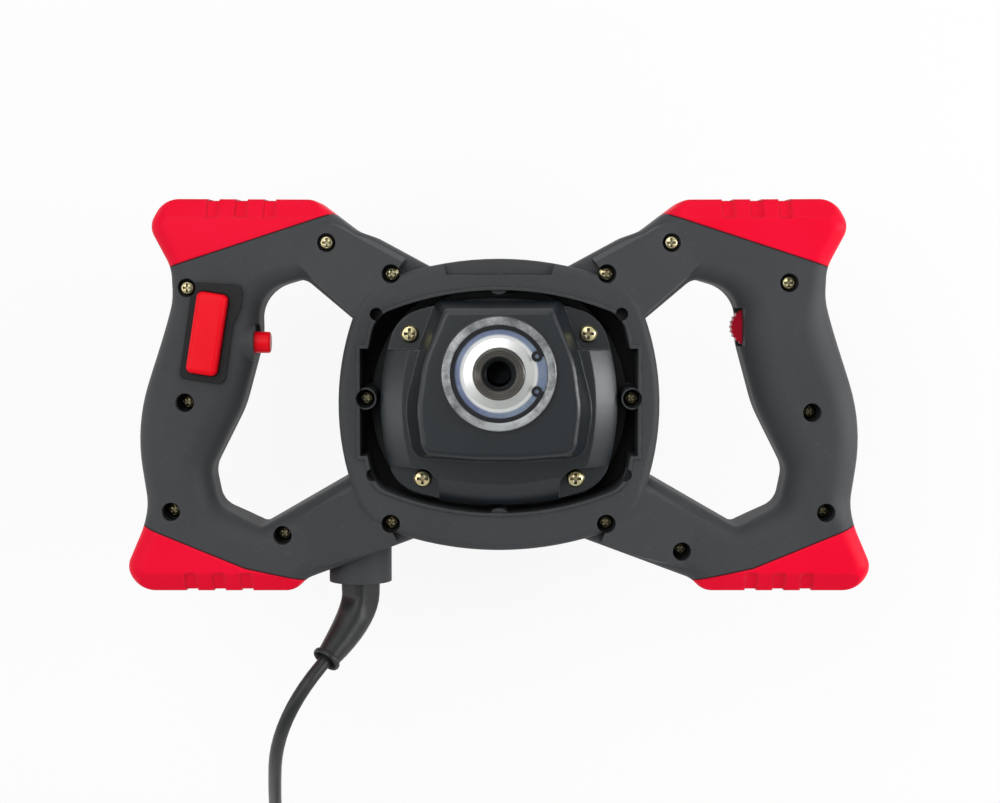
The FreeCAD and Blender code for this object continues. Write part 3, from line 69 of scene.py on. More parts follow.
# Lamps: place, width, height and watts; the matt lamp lights surfaces but isn't mirrored in them
lamp_aim = Vector((0, 0, 0.15))
lamps = {
    "top_softbox": ((-0.60, 0.55, 1.70), 1.5, 1.2, 17.0),
    "far_softbox": ((0, 1.15, 0.70), 1.0, 0.6, 3.0),
    "near_strip": ((0, -1.15, 0.55), 1.0, 0.4, 3.2),
    "left_strip": ((-1.15, -0.10, 0.60), 0.25, 1.2, 2.6),
    "right_strip": ((1.15, 0.05, 0.55), 0.25, 1.2, 13.0),
}
matt_lamp = "near_strip"

# Lead: route from its clamp to the floor, then the coil's half turns
cord_radius = 0.0035
cord_exit = (-0.0713, -0.0594, 0.147)
lead_route = [
    cord_exit, (-0.0713, -0.0860, 0.147), (-0.0713, -0.1120, 0.147), (-0.1109, -0.1569, 0.187),
    (-0.1225, -0.2265, 0.0980), (-0.1285, -0.2720, 0.0044), (-0.1055, -0.3530, 0.0044)]
lead_steps = 10
lead_roundness = 6
coil_heading = Vector((0.023, -0.081, 0)).normalized()
coil_side = Vector((-coil_heading.y, coil_heading.x, 0))
coil_lead_in = 2 * cord_radius
coil_outer_radius = 0.051
coil_pitch = 0.0076
coil_half_turns = 6
coil_points = 8
coil_spread = 0.009

# Boot: lengths along the lead, taper, faceted root, and the lip as distance past the tip and radius
boot_start = 0.030
boot_end = 0.0785
boot_sides = 48
boot_radius = 0.0099
boot_taper = 0.0036
boot_facet_end = 0.44
boot_facet_fade = 0.08
boot_facet_width = 0.84
boot_lip = [
    (0.0000, 0.0062), (0.0004, 0.0072), (0.0011, 0.0076), (0.0023, 0.0076), (0.0030, 0.0072),
    (0.0031, 0.0066), (0.0024, 0.0061), (0.0000, 0.0054), (-0.0040, 0.0047), (-0.0080, 0.0037)]

# Plug: distance along, half width, half height and squareness of each section
plug_sides = 64
plug_sections = [
    (-0.0020, 0.0047, 0.0047, 2.0), (0.0000, 0.0051, 0.0051, 2.0), (0.0012, 0.0064, 0.0064, 2.0),
    (0.0028, 0.0064, 0.0064, 2.0), (0.0034, 0.0054, 0.0054, 2.0), (0.0048, 0.0054, 0.0054, 2.0),
    (0.0054, 0.0069, 0.0069, 2.0), (0.0072, 0.0069, 0.0069, 2.0), (0.0078, 0.0058, 0.0058, 2.0),
    (0.0092, 0.0058, 0.0058, 2.0), (0.0098, 0.0074, 0.0074, 2.1), (0.0118, 0.0075, 0.0074, 2.1),
    (0.0130, 0.0070, 0.0070, 2.2), (0.0150, 0.0092, 0.0078, 2.4), (0.0185, 0.0128, 0.0094, 2.8),
    (0.0225, 0.0150, 0.0108, 3.1), (0.0270, 0.0157, 0.0115, 3.4), (0.0330, 0.0158, 0.0117, 3.6),
    (0.0390, 0.0166, 0.0118, 3.8), (0.0440, 0.0176, 0.0118, 4.0), (0.0475, 0.0178, 0.0118, 4.2),
    (0.0481, 0.0173, 0.0113, 4.2), (0.0490, 0.0173, 0.0113, 4.2), (0.0496, 0.0178, 0.0118, 4.2),
    (0.0555, 0.0178, 0.0118, 4.4), (0.0572, 0.0175, 0.0116, 4.4), (0.0580, 0.0167, 0.0108, 4.4)]

# Coil strap
tie_width = 0.012
tie_thickness = 0.0008
tie_gap = 0.0001
tie_facets = 72

# Spindle: stepped shaft, rim as radius and drop from the top, turned mouth, thread, bore's floor
spindle_centre = Vector((0, 0.017, 0))
spindle_sides = 96
tail_point = 0.0004
tail_radius = 0.0060
tail_chamfer = 0.0005
tail_top = 0.1805
journal_radius = 0.0100
journal_top = 0.1950
collar_radius = 0.0125
spindle_rim = [(0.0125, 0.0010), (0.0123, 0.0004), (0.0119, 0.0)]
mouth_radius = 0.0116
mouth_turns = 3
mouth_step = 0.00105
mouth_fall = 0.0009
mouth_ledge = [(0, 0), (0.35, 0), (0.55, 1), (0.8, 1)]
mouth_foot_radius = 0.0070
thread_root = 0.0069
thread_crest = 0.0060
thread_pitch = 0.002
thread_top = 0.2165
thread_foot = 0.1935
thread_rings = 150
thread_flank = 1.5
thread_land = 0.2
bore_floor = [(0.0060, thread_foot), (0.0060, 0.1905), (0.0003, 0.1890)]

# Where a finish changes on a piece: none at the first distance, all of it at the second
bezel_face = (0.1713, 0.1716)
bezel_side = (-0.105, -0.110)
boss_face = (0.2150, 0.2153)
boss_edge = (0.0276, 0.0273)
bearing_seat = (0.2124, 0.2126)
bearing_edge = (0.0250, 0.0248)
washer_middle = (0.0192, 0.0183)
# Painted shade in the spindle's bore, by reach and by depth
bore_shade_reach = (0.0087, 0.0082)
bore_shade_depth = (0.2186, 0.2176)

# Tool marks, in radians per metre
boss_marks = 26000
steel_marks = 21000
steel_lines = 17000
washer_marks = 15000

# Joints between the bumpers and the handle, as in the solids: a point and slopes on the right-hand side
upper_seam_point = (0.1645, 0.0685)
upper_seam_slope = -0.3270
lower_seam_point = (0.1280, -0.0830)
lower_seam_slopes = (0.2155, 0.4105)
seam_width = (0.0006, 0.0002)
seam_start = (0.0867, 0.0872)
seam_start_lean = 0.02
seam_dirt = 0.85

# Edges of meshes that turn by more than this stay sharp
sharp_angle = math.radians(38)

# Colours, linear
charcoal_deep = (0.037, 0.0395, 0.043, 1)
charcoal_pale = (0.052, 0.0545, 0.058, 1)
charcoal_fleck = (0.088, 0.091, 0.096, 1)
# Pale edge tone: wear, and also a painted highlight
charcoal_wear_and_highlight = (0.130, 0.133, 0.139, 1)
# Painted shade for the corners and hollows of the charcoal mouldings
charcoal_painted_shade = (0.012, 0.013, 0.014, 1)
insert_black = (0.012, 0.013, 0.014, 1)
red_soft = (0.78, 0.001, 0.022, 1)
red_soft_pale = (0.84, 0.004, 0.034, 1)
red_soft_chalk_and_highlight = (0.94, 0.080, 0.110, 1)
red_gloss = (0.78, 0.002, 0.010, 1)
red_gloss_pale = (0.84, 0.006, 0.018, 1)
red_gloss_worn = (0.92, 0.120, 0.120, 1)
dial_crimson = (0.40, 0.003, 0.016, 1)
dial_crimson_pale = (0.48, 0.008, 0.030, 1)
zinc_yellow = (0.68, 0.58, 0.31, 1)
zinc_green = (0.52, 0.52, 0.30, 1)
zinc_rose = (0.64, 0.42, 0.30, 1)
zinc_bright = (0.84, 0.78, 0.58, 1)
casting_deep = (0.008, 0.011, 0.013, 1)
casting_pale = (0.013, 0.017, 0.020, 1)
casting_wear_and_highlight = (0.120, 0.125, 0.135, 1)
bare_alloy = (0.36, 0.375, 0.38, 1)
bare_alloy_dark = (0.09, 0.095, 0.10, 1)
steel_tone = (0.40, 0.40, 0.395, 1)
spindle_tone = (0.11, 0.105, 0.095, 1)
spindle_stain = (0.085, 0.080, 0.072, 1)
# Painted shade inside the spindle's bore
bore_shade_tone = (0.010, 0.011, 0.012, 1)
washer_blue = (0.20, 0.25, 0.33, 1)
washer_violet = (0.12, 0.145, 0.25, 1)
washer_white = (0.63, 0.645, 0.63, 1)
washer_haze = (0.36, 0.40, 0.52, 1)
sheath_deep = (0.013, 0.014, 0.014, 1)
sheath_pale = (0.024, 0.025, 0.025, 1)
sheath_dust = (0.075, 0.074, 0.072, 1)
board_track = (0.012, 0.090, 0.030, 1)
board_green = (0.035, 0.190, 0.070, 1)
spring_deep = (0.012, 0.012, 0.014, 1)
spring_pale = (0.030, 0.030, 0.034, 1)
spring_rubbed = (0.10, 0.10, 0.11, 1)
moulding_deep = (0.014, 0.014, 0.015, 1)
moulding_pale = (0.026, 0.026, 0.028, 1)
moulding_rubbed = (0.08, 0.08, 0.085, 1)
iron_deep = (0.10, 0.10, 0.11, 1)
iron_pale = (0.34, 0.34, 0.35, 1)
copper_deep = (0.30, 0.10, 0.03, 1)
copper_pale = (0.78, 0.34, 0.14, 1)
carbon_deep = (0.014, 0.014, 0.015, 1)
carbon_pale = (0.034, 0.033, 0.033, 1)
carbon_rubbed = (0.08, 0.08, 0.08, 1)
brass_deep = (0.52, 0.42, 0.22, 1)
brass_pale = (0.66, 0.56, 0.32, 1)
brass_rubbed = (0.80, 0.74, 0.55, 1)
floor_grey = (0.80, 0.80, 0.80, 1)
black = (0.004, 0.004, 0.005, 1)
white = (1, 1, 1, 1)


class Wire:
    """A socket of a finish; arithmetic on it adds Math nodes."""

    def __init__(self, finish, socket):
        self.finish = finish
        self.socket = socket

    def maths(self, operation, first, second):
        return self.finish.node("Math", {"operation": operation}, {0: first, 1: second})

    def __add__(self, other):
        return self.maths("ADD", self, other)

    def __radd__(self, other):
        return self.maths("ADD", other, self)

    def __sub__(self, other):
        return self.maths("SUBTRACT", self, other)

    def __rsub__(self, other):
        return self.maths("SUBTRACT", other, self)

    def __mul__(self, other):
        return self.maths("MULTIPLY", self, other)

    def __rmul__(self, other):
        return self.maths("MULTIPLY", other, self)


class Finish:
    """The nodes of one procedural material, or of the studio's air, that end in its shader."""

    def __init__(self, owner, shader="Principled BSDF", coordinates="Object"):
        owner.use_nodes = True
        self.owner = owner
        self.tree = owner.node_tree
        self.shader = self.tree.nodes[shader]
        self.place = self.node("TexCoord", {}, {}, coordinates)

    def feed(self, socket, value):
        if isinstance(value, Wire):
            self.tree.links.new(value.socket, socket)
        else:
            socket.default_value = value

    def node(self, kind, settings, sockets, output=0):
        """Adds a node: settings first, then the values or links of its sockets."""
        made = self.tree.nodes.new("ShaderNode" + kind)
        for key, value in settings.items():
            setattr(made, key, value)
        for key, value in sockets.items():
            self.feed(made.inputs[key], value)
        return Wire(self, made.outputs[output])

    def noise(self, scale, detail, roughness):
        return self.node("TexNoise", {}, {
            "Vector": self.place, "Scale": scale, "Detail": detail, "Roughness": roughness})

    def between(self, value, low, high):
        """0 where value is at low, 1 where it is at high."""
        return self.node("MapRange", {}, {"Value": value, "From Min": low, "From Max": high})

    def blend(self, share, first, second):
        return self.node("Mix", {"data_type": "RGBA"}, {0: share, 6: first, 7: second}, 2)

    def sine(self, value):
        return self.node("Math", {"operation": "SINE"}, {0: value})

    def size(self, value):
        return self.node("Math", {"operation": "ABSOLUTE"}, {0: value})

    def along(self, axis):
        """One coordinate, X, Y or Z."""
        return self.node("SeparateXYZ", {}, {0: self.place}, axis)

    def reach(self, centre):
        """Distance from an upright axis through centre."""
        flat = self.node("VectorMath", {"operation": "MULTIPLY"}, {0: self.place, 1: (1, 1, 0)})
        middle = (centre.x, centre.y, 0)
        return self.node("VectorMath", {"operation": "DISTANCE"}, {0: flat, 1: middle}, 1)

    def rounded(self, radius):
        """Surface normal with the edges softened over radius."""
        return self.node("Bevel", {"samples": 4}, {"Radius": radius})

    def edge(self, soft):
        """1 along the edges that a softened normal rounds, 0 on open faces."""
        true = self.node("NewGeometry", {}, {}, "Normal")
        match = self.node("VectorMath", {"operation": "DOT_PRODUCT"}, {0: soft, 1: true}, 1)
        return self.between(1 - match, low=0.02, high=0.20)

    def rubbed(self, soft, scale, low, high):
        """Edges that are worn in patches."""
        return self.edge(soft) * self.between(self.noise(scale, detail=3, roughness=0.6), low, high)

    def open_sky(self, distance, local=False):
        """1 on open faces, towards 0 in corners and holes; local leaves other pieces out."""
        settings = {"samples": 4, "only_local": local}
        return self.node("AmbientOcclusion", settings, {"Distance": distance}, "AO")

    def seam(self):
        """1 in the joint between a bumper and the handle, 0 away from it."""
        across = self.size(self.along("X"))
        rise = self.along("Y")
        upper = upper_seam_point[1] + upper_seam_slope * (across - upper_seam_point[0])
        beyond = across - lower_seam_point[0]
        flat, steep = [lower_seam_point[1] + slope * beyond for slope in lower_seam_slopes]
        lower = across.maths("MAXIMUM", flat, steep)
        gap = across.maths("MINIMUM", self.size(rise - upper), self.size(rise - lower))
        start = self.between(across + seam_start_lean * rise, *seam_start)
        return self.between(gap, *seam_width) * start

    def seen_white(self):
        """1 for rays from the lens or off metal and glass, 0 for light on matt faces."""
        lens = self.node("LightPath", {}, {}, "Is Camera Ray")
        mirror = self.node("LightPath", {}, {}, "Is Glossy Ray")
        through = self.node("LightPath", {}, {}, "Is Transmission Ray")
        return self.between(lens + mirror + through, low=0.0, high=1.0)

    def relief(self, height, strength, depth, normal=None):
        sockets = {"Height": height, "Strength": strength, "Distance": depth}
        if normal is not None:
            sockets["Normal"] = normal
        return self.node("Bump", {}, sockets)

    def surface(self, sockets):
        for key, value in sockets.items():
            self.feed(self.shader.inputs[key], value)
        return self.owner

    def surface_with(self, other, share, output):
        """Ends in a share of another shader over its own."""
        both = self.node("MixShader", {}, {0: share, 1: Wire(self, self.shader.outputs[0]), 2: other})
        self.tree.links.new(both.socket, self.tree.nodes[output].inputs["Surface"])


def new_finish(name):
    return Finish(bpy.data.materials.new(name))


def moulded_charcoal():
    """Glass-filled nylon: spark-eroded grain, faint flow clouds, rubbed edges that also carry a painted
    highlight, painted shade in corners.
    """
    coat = new_finish("moulded_charcoal")
    soft = coat.rounded(radius=0.0009)
    grain = coat.noise(scale=1100, detail=3, roughness=0.65)
    cloud = coat.noise(scale=24, detail=4, roughness=0.55)
    fleck = coat.between(coat.noise(scale=460, detail=2, roughness=0.5), low=0.62, high=0.74)
    rub = coat.rubbed(soft, scale=170, low=0.36, high=0.64)
    tone = coat.blend(cloud, charcoal_deep, charcoal_pale)
    tone = coat.blend(fleck * 0.20, tone, charcoal_fleck)
    # Pale edges: patchy wear, and also a painted highlight along the edges.
    tone = coat.blend(rub * 0.60, tone, charcoal_wear_and_highlight)
    insert = coat.between(coat.along("Z"), *bezel_face) * coat.between(coat.along("X"), *bezel_side)
    tone = coat.blend(insert, tone, insert_black)
    # Painted shade: the charcoal goes near black in corners and hollows, where shade falls.
    unshaded_share = coat.between(coat.open_sky(distance=0.004), low=0.30, high=0.85)
    tone = coat.blend(unshaded_share, charcoal_painted_shade, tone)
    return coat.surface({
        "Base Color": coat.blend(coat.seam() * seam_dirt, tone, black),
        "Specular IOR Level": 0.16,
        "Roughness": 0.44 + 0.14 * grain + 0.10 * cloud,
        "Normal": coat.relief(grain, strength=0.18, depth=0.00025, normal=soft)})


def soft_red():
    """Overmoulded bumper rubber: matt, fine grain, slightly chalky on the edges, which also serves as a
    painted edge highlight.
    """
    coat = new_finish("soft_red")
    soft = coat.rounded(radius=0.0025)
    grain = coat.noise(scale=1000, detail=3, roughness=0.6)
    cloud = coat.noise(scale=30, detail=3, roughness=0.5)
    chalky_highlit_edge = coat.rubbed(soft, scale=210, low=0.3, high=0.7)
    tone = coat.blend(cloud, red_soft, red_soft_pale)
    # Pale edges: chalky wear, and also a painted highlight along the edges.
    tone = coat.blend(chalky_highlit_edge * 0.30, tone, red_soft_chalk_and_highlight)
    return coat.surface({
        "Base Color": coat.blend(coat.seam() * seam_dirt, tone, black),
        "Specular IOR Level": 0.07,
        "Roughness": 0.38 + 0.16 * grain,
        "Normal": coat.relief(grain, strength=0.14, depth=0.0002, normal=soft)})


def gloss_red(name, deep, pale):
    """Moulded control buttons: smooth with a little orange peel."""
    coat = new_finish(name)
    soft = coat.rounded(radius=0.0008)
    peel = coat.noise(scale=420, detail=2, roughness=0.5)
    cloud = coat.noise(scale=60, detail=2, roughness=0.5)
    worn = coat.rubbed(soft, scale=300, low=0.35, high=0.65)
    tone = coat.blend(cloud, deep, pale)
    return coat.surface({
        "Base Color": coat.blend(worn * 0.35, tone, red_gloss_worn),
        "Specular IOR Level": 0.09,
        "Roughness": 0.26 + 0.10 * peel + 0.10 * worn,
        "Normal": coat.relief(peel, strength=0.08, depth=0.0002, normal=soft)})


def yellow_zinc():
    """Screws with yellow passivation that shifts to green and rose, with painted shade in the cross and
    in deep holes.
    """
    coat = new_finish("yellow_zinc")
    soft = coat.rounded(radius=0.0003)
    drift = coat.between(coat.noise(scale=230, detail=2, roughness=0.5), low=0.35, high=0.65)
    patch = coat.between(coat.noise(scale=520, detail=2, roughness=0.5), low=0.50, high=0.70)
    grain = coat.noise(scale=2600, detail=2, roughness=0.6)
    tone = coat.blend(drift, zinc_yellow, zinc_green)
    tone = coat.blend(patch * 0.7, tone, zinc_rose)
    tone = coat.blend(coat.edge(soft) * 0.5, tone, zinc_bright)
    # Painted shade: heads go black in the cross recess and deep in their holes.
    cross = coat.between(coat.open_sky(distance=0.0022, local=True), low=0.35, high=0.85)
    hole_unshaded = coat.between(coat.open_sky(distance=0.014), low=0.08, high=0.34)
    return coat.surface({
        "Base Color": coat.blend(cross * hole_unshaded, black, tone),
        "Metallic": 1.0,
        "Roughness": 0.24 + 0.16 * grain,
        "Normal": coat.relief(grain, strength=0.10, depth=0.0001, normal=soft)})


def dark_casting():
    """Painted die casting, with the bearing boss faced to bare alloy. Its rubbed edges also carry a
    painted highlight, and dark patches on the bare alloy are partly a painted dark reflection.
    """
    coat = new_finish("dark_casting")
    soft = coat.rounded(radius=0.0010)
    crust = coat.noise(scale=520, detail=4, roughness=0.6)
    cloud = coat.noise(scale=40, detail=3, roughness=0.5)
    reach = coat.reach(spindle_centre)
    height = coat.along("Z")
    faced = coat.between(height, *boss_face) * coat.between(reach, *boss_edge)
    bored = coat.between(height, *bearing_seat) * coat.between(reach, *bearing_edge)
    bare = coat.between(faced + bored, low=0.0, high=1.0)
    turning = coat.sine(reach * boss_marks)
    # Dark patches on the faced alloy: scuffs, and also a painted dark reflection.
    scuff_and_reflection = coat.between(coat.noise(scale=62, detail=6, roughness=0.72), low=0.40, high=0.64)
    alloy = coat.blend(scuff_and_reflection, bare_alloy, bare_alloy_dark)
    rub = coat.rubbed(soft, scale=190, low=0.36, high=0.62)
    tone = coat.blend(cloud, casting_deep, casting_pale)
    # Pale edges: rubbed paint, and also a painted highlight along the edges.
    tone = coat.blend(rub * 0.70, tone, casting_wear_and_highlight)
    ripple = crust * (1 - bare) + 0.5 * turning * bare
    return coat.surface({
        "Base Color": coat.blend(bare, tone, alloy),
        "Metallic": bare * 0.95,
        "Specular IOR Level": 0.36,
        "Roughness": 0.27 + 0.12 * crust,
        "Normal": coat.relief(ripple, strength=0.12, depth=0.0003, normal=soft)})


def turned_steel(name, tone, stain_tone, roughness):
    """Machined metal with faint tool marks about the spindle's axis."""
    coat = new_finish(name)
    marks = coat.sine(coat.reach(spindle_centre) * steel_marks)
    lines = coat.sine(coat.along("Z") * steel_lines)
    smear = coat.noise(scale=130, detail=4, roughness=0.65)
    stain = coat.between(coat.noise(scale=70, detail=4, roughness=0.6), low=0.50, high=0.66)
    return coat.surface({
        "Base Color": coat.blend(stain * 0.6, tone, stain_tone),
        "Metallic": 1.0,
        "Roughness": roughness + 0.16 * smear,
        "Normal": coat.relief(marks + lines, strength=0.05, depth=0.0001, normal=coat.rounded(0.0003))})


def spindle_steel():
    """Turned end, with painted shade in the bore and in the grooves of its mouth."""
    coat = new_finish("spindle_steel")
    reach = coat.reach(spindle_centre)
    marks = coat.sine(reach * steel_marks)
    smear = coat.noise(scale=150, detail=4, roughness=0.65)
    # Painted shade: near black inside the bore and in the grooves of the mouth.
    bore_shade = coat.between(reach, *bore_shade_reach) * coat.between(coat.along("Z"), *bore_shade_depth)
    groove_unshaded = coat.between(coat.open_sky(distance=0.0012, local=True), low=0.35, high=0.85)
    stain = coat.between(coat.noise(scale=90, detail=4, roughness=0.6), low=0.46, high=0.64)
    tone = coat.blend(stain * 0.7, spindle_tone, spindle_stain)
    return coat.surface({
        "Base Color": coat.blend(groove_unshaded * (1 - bore_shade), bore_shade_tone, tone),
        "Metallic": 1.0,
        "Roughness": 0.24 + 0.16 * smear + 0.10 * bore_shade,
        "Normal": coat.relief(marks, strength=0.05, depth=0.0001, normal=coat.rounded(0.0003))})


def zinc_plate():
    """Dished washer: zinc that clouds from blue to violet on its rim, partly as a painted reflection, and
    is white towards its middle.
    """
    coat = new_finish("zinc_plate")
    reach = coat.reach(spindle_centre)
    cloud = coat.noise(scale=34, detail=3, roughness=0.5)
    haze = coat.between(coat.noise(scale=160, detail=3, roughness=0.6), low=0.50, high=0.68)
    marks = coat.sine(reach * washer_marks)
    # Blue to violet clouds on the rim: plating tint, and also a painted reflection.
    rim_tint_and_reflection = coat.blend(coat.between(cloud, low=0.38, high=0.62), washer_blue, washer_violet)
    tone = coat.blend(coat.between(reach, *washer_middle), rim_tint_and_reflection, washer_white)
    return coat.surface({
        "Base Color": coat.blend(haze * 0.18, tone, washer_haze),
        "Metallic": 1.0,
        "Roughness": 0.32 + 0.06 * cloud,
        "Normal": coat.relief(marks, strength=0.03, depth=0.0001)})


def plain_finish(name, deep, pale, rubbed, roughness, grain_scale, metal=0.0):
    """Two close tones with a fine grain and rubbed edges, for small and inner pieces."""
    coat = new_finish(name)
    soft = coat.rounded(radius=0.0004)
    grain = coat.noise(grain_scale, detail=3, roughness=0.6)
    cloud = coat.noise(scale=50, detail=3, roughness=0.55)
    rub = coat.rubbed(soft, scale=240, low=0.35, high=0.65)
    tone = coat.blend(cloud, deep, pale)
    return coat.surface({
        "Base Color": coat.blend(rub * 0.4, tone, rubbed),
        "Metallic": metal,
        "Specular IOR Level": 0.30,
        "Roughness": roughness + 0.16 * grain,
        "Normal": coat.relief(grain, strength=0.15, depth=0.0002, normal=soft)})


def banded(name, deep, pale, roughness, pitch):
    """Stacked sheets or wound turns: bands along the motor axis."""
    coat = new_finish(name)
    band = coat.between(coat.sine(coat.along("Z") * (2 * math.pi / pitch)), low=-1.0, high=1.0)
    cloud = coat.noise(scale=140, detail=3, roughness=0.6)
    return coat.surface({
        "Base Color": coat.blend(band * cloud, deep, pale),
        "Metallic": 0.9,
        "Roughness": roughness + 0.15 * cloud,
        "Normal": coat.relief(band, strength=0.5, depth=0.0003)})


def lead_rubber():
    """Extruded sheath: satin black with a fine grain and dust."""
    coat = new_finish("lead_rubber")
    grain = coat.noise(scale=1500, detail=3, roughness=0.6)
    dust = coat.between(coat.noise(scale=60, detail=4, roughness=0.6), low=0.52, high=0.72)
    tone = coat.blend(coat.noise(scale=35, detail=3, roughness=0.5), sheath_deep, sheath_pale)
    return coat.surface({
        "Base Color": coat.blend(dust * 0.25, tone, sheath_dust),
        "Specular IOR Level": 0.24,
        "Roughness": 0.32 + 0.16 * grain,
        "Normal": coat.relief(grain, strength=0.14, depth=0.0002)})


def circuit_board():
    """Green solder mask over darker tracks."""
    coat = new_finish("circuit_board")
    wave = coat.node("TexWave", {"wave_type": "BANDS", "bands_direction": "DIAGONAL"}, {
        "Vector": coat.place, "Scale": 210.0, "Distortion": 3.0, "Detail": 1.0})
    track = coat.between(wave, low=0.45, high=0.55)
    return coat.surface({
        "Base Color": coat.blend(track, board_track, board_green),
        "Roughness": 0.32 + 0.10 * track,
        "Normal": coat.relief(track, strength=0.2, depth=0.0001)})


finishes = {
    "charcoal_plastic": moulded_charcoal(),
    "red_rubber": soft_red(),
    "red_plastic": gloss_red("gloss_red", red_gloss, red_gloss_pale),
    "yellow_zinc": yellow_zinc(),
    "dark_casting": dark_casting(),
    "machined_alloy": turned_steel("machined_alloy", bare_alloy, bare_alloy_dark, roughness=0.30),
    "steel": turned_steel("turned_steel", steel_tone, spindle_tone, roughness=0.26),
    "zinc_plate": zinc_plate(),
    "black_spring_steel": plain_finish("blackened_spring", spring_deep, spring_pale, spring_rubbed,
                                       roughness=0.30, grain_scale=1600, metal=0.7),
    "black_plastic": plain_finish("black_moulding", moulding_deep, moulding_pale, moulding_rubbed,
                                  roughness=0.40, grain_scale=1400),
    "cord_rubber": lead_rubber(),
    "lamination": banded("laminated_iron", iron_deep, iron_pale, roughness=0.42, pitch=0.0007),
    "copper_wire": banded("enamelled_copper", copper_deep, copper_pale, roughness=0.28, pitch=0.0009),
    "carbon": plain_finish("brush_carbon", carbon_deep, carbon_pale, carbon_rubbed,
                           roughness=0.50, grain_scale=1500),
    "circuit_board": circuit_board(),
    "brass_metal": plain_finish("pin_brass", brass_deep, brass_pale, brass_rubbed,
                                roughness=0.22, grain_scale=1800, metal=1.0),
}
for node in nodes.values():
    for holder in node.material_slots:
        holder.material = finishes[holder.material.name]
dial_slot = nodes["speed_dial"].material_slots[0]
dial_slot.material = gloss_red("dial_crimson", dial_crimson, dial_crimson_pale)


def shown(name, data, slot, body):
    """Adds a piece that carries a slot's finish and rides on a body."""
    piece = bpy.data.objects.new(name, data)
    scene.collection.objects.link(piece)
    data.materials.append(finishes[slot])
    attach(piece, body)
    return piece


def skinned(name, rings, closed_loop=False):
    """Smooth mesh over rings of equal count; open ends are capped."""
    mesh = bmesh.new()
    rows = [[mesh.verts.new(point) for point in ring] for ring in rings]
    count = len(rows[0])
    pairs = list(zip(rows, rows[1:]))
    if closed_loop:
        pairs.append((rows[-1], rows[0]))
    for near, far in pairs:
        for i in range(count):
            j = (i + 1) % count
            mesh.faces.new((near[i], near[j], far[j], far[i]))
    if not closed_loop:
        mesh.faces.new(list(reversed(rows[0])))
        mesh.faces.new(rows[-1])
    bmesh.ops.recalc_face_normals(mesh, faces=mesh.faces)
    data = bpy.data.meshes.new(name)
    mesh.to_mesh(data)
    mesh.free()
    data.shade_smooth()
    data.set_sharp_from_angle(angle=sharp_angle)
    return data


def coil_route(start):
    """The coil's half turns: in along the floor, one layer up at the smallest, and out again."""
    radii = [coil_outer_radius - coil_pitch / 2 * i for i in range(coil_half_turns + 1)]
    radii += list(reversed(radii[1:coil_half_turns]))
    radii[-1] += coil_spread
    points = []
    here = Vector(start) + coil_heading * coil_lead_in
    sign = 1
    for turn, radius in enumerate(radii):
        climb = coil_pitch if turn == coil_half_turns else 0
        centre = here + coil_side * (radius * sign)
        reach = radius / math.cos(math.pi / (2 * coil_points))
        for i in range(coil_points):
            share = (i + 0.5) / coil_points
            angle = math.pi * share
            outward = coil_side * (-math.cos(angle) * sign) + coil_heading * (math.sin(angle) * sign)
            points.append(centre + outward * reach + up * (climb * share))
        here = here + coil_side * (2 * radius * sign) + up * climb
        sign = -sign
    end = here + coil_heading * (sign * coil_lead_in)
    points.append(end)
    return points, end, coil_heading * sign


def lead_curve(points):
    """Smooth line on its points, whose radius is the lead's own."""
    data = bpy.data.curves.new("mains_lead", "CURVE")
    data.dimensions = "3D"
    data.resolution_u = lead_steps
    spline = data.splines.new("NURBS")
    spline.points.add(len(points) - 1)
    for knot, point in zip(spline.points, points):
        knot.co = (point[0], point[1], point[2], 1)
        knot.radius = cord_radius
    spline.order_u = 3
    spline.use_endpoint_u = True
    return data


def make_lead():
    """The lead with its coil, the line that it follows, and where and which way it ends."""
    loops, end, leaving = coil_route(lead_route[-1])
    data = lead_curve(lead_route + loops)
    lead = shown("mains_lead", data, "cord_rubber", "frame")
    bpy.context.view_layer.update()
    bare = bpy.data.meshes.new_from_object(lead.evaluated_get(bpy.context.evaluated_depsgraph_get()))
    line = [v.co.copy() for v in bare.vertices]
    bpy.data.meshes.remove(bare)
    data.bevel_depth = 1.0
    data.bevel_resolution = lead_roundness
    data.use_fill_caps = True
    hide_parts("cord_lead", "cord_coil")
    return lead, line, end, leaving


def stretch(line, start, end):
    """Points and headings of the line between two lengths along it."""
    found = []
    run = 0.0
    for here, there in zip(line, line[1:]):
        if start <= run <= end:
            found.append((here, (there - here).normalized(), run))
        run += (there - here).length
    return found


def ring_about(place, heading, radii):
    """Ring across a heading, with its radii in even steps from the top."""
    side = heading.cross(up).normalized()
    top = side.cross(heading).normalized()
    ring = []
    for i, radius in enumerate(radii):
        angle = 2 * math.pi * i / len(radii)
        ring.append(place + (top * math.cos(angle) + side * math.sin(angle)) * radius)
    return ring


def boot_section(radius, facet):
    """Radii of the boot's ring: round where facet is 0, flattened on four sides where it is 1."""
    radii = []
    for i in range(boot_sides):
        angle = 2 * math.pi * i / boot_sides + math.pi / 4
        flat = boot_facet_width / max(abs(math.cos(angle)), abs(math.sin(angle)))
        radii.append(radius * (1 + facet * (min(1.0, flat) - 1)))
    return radii


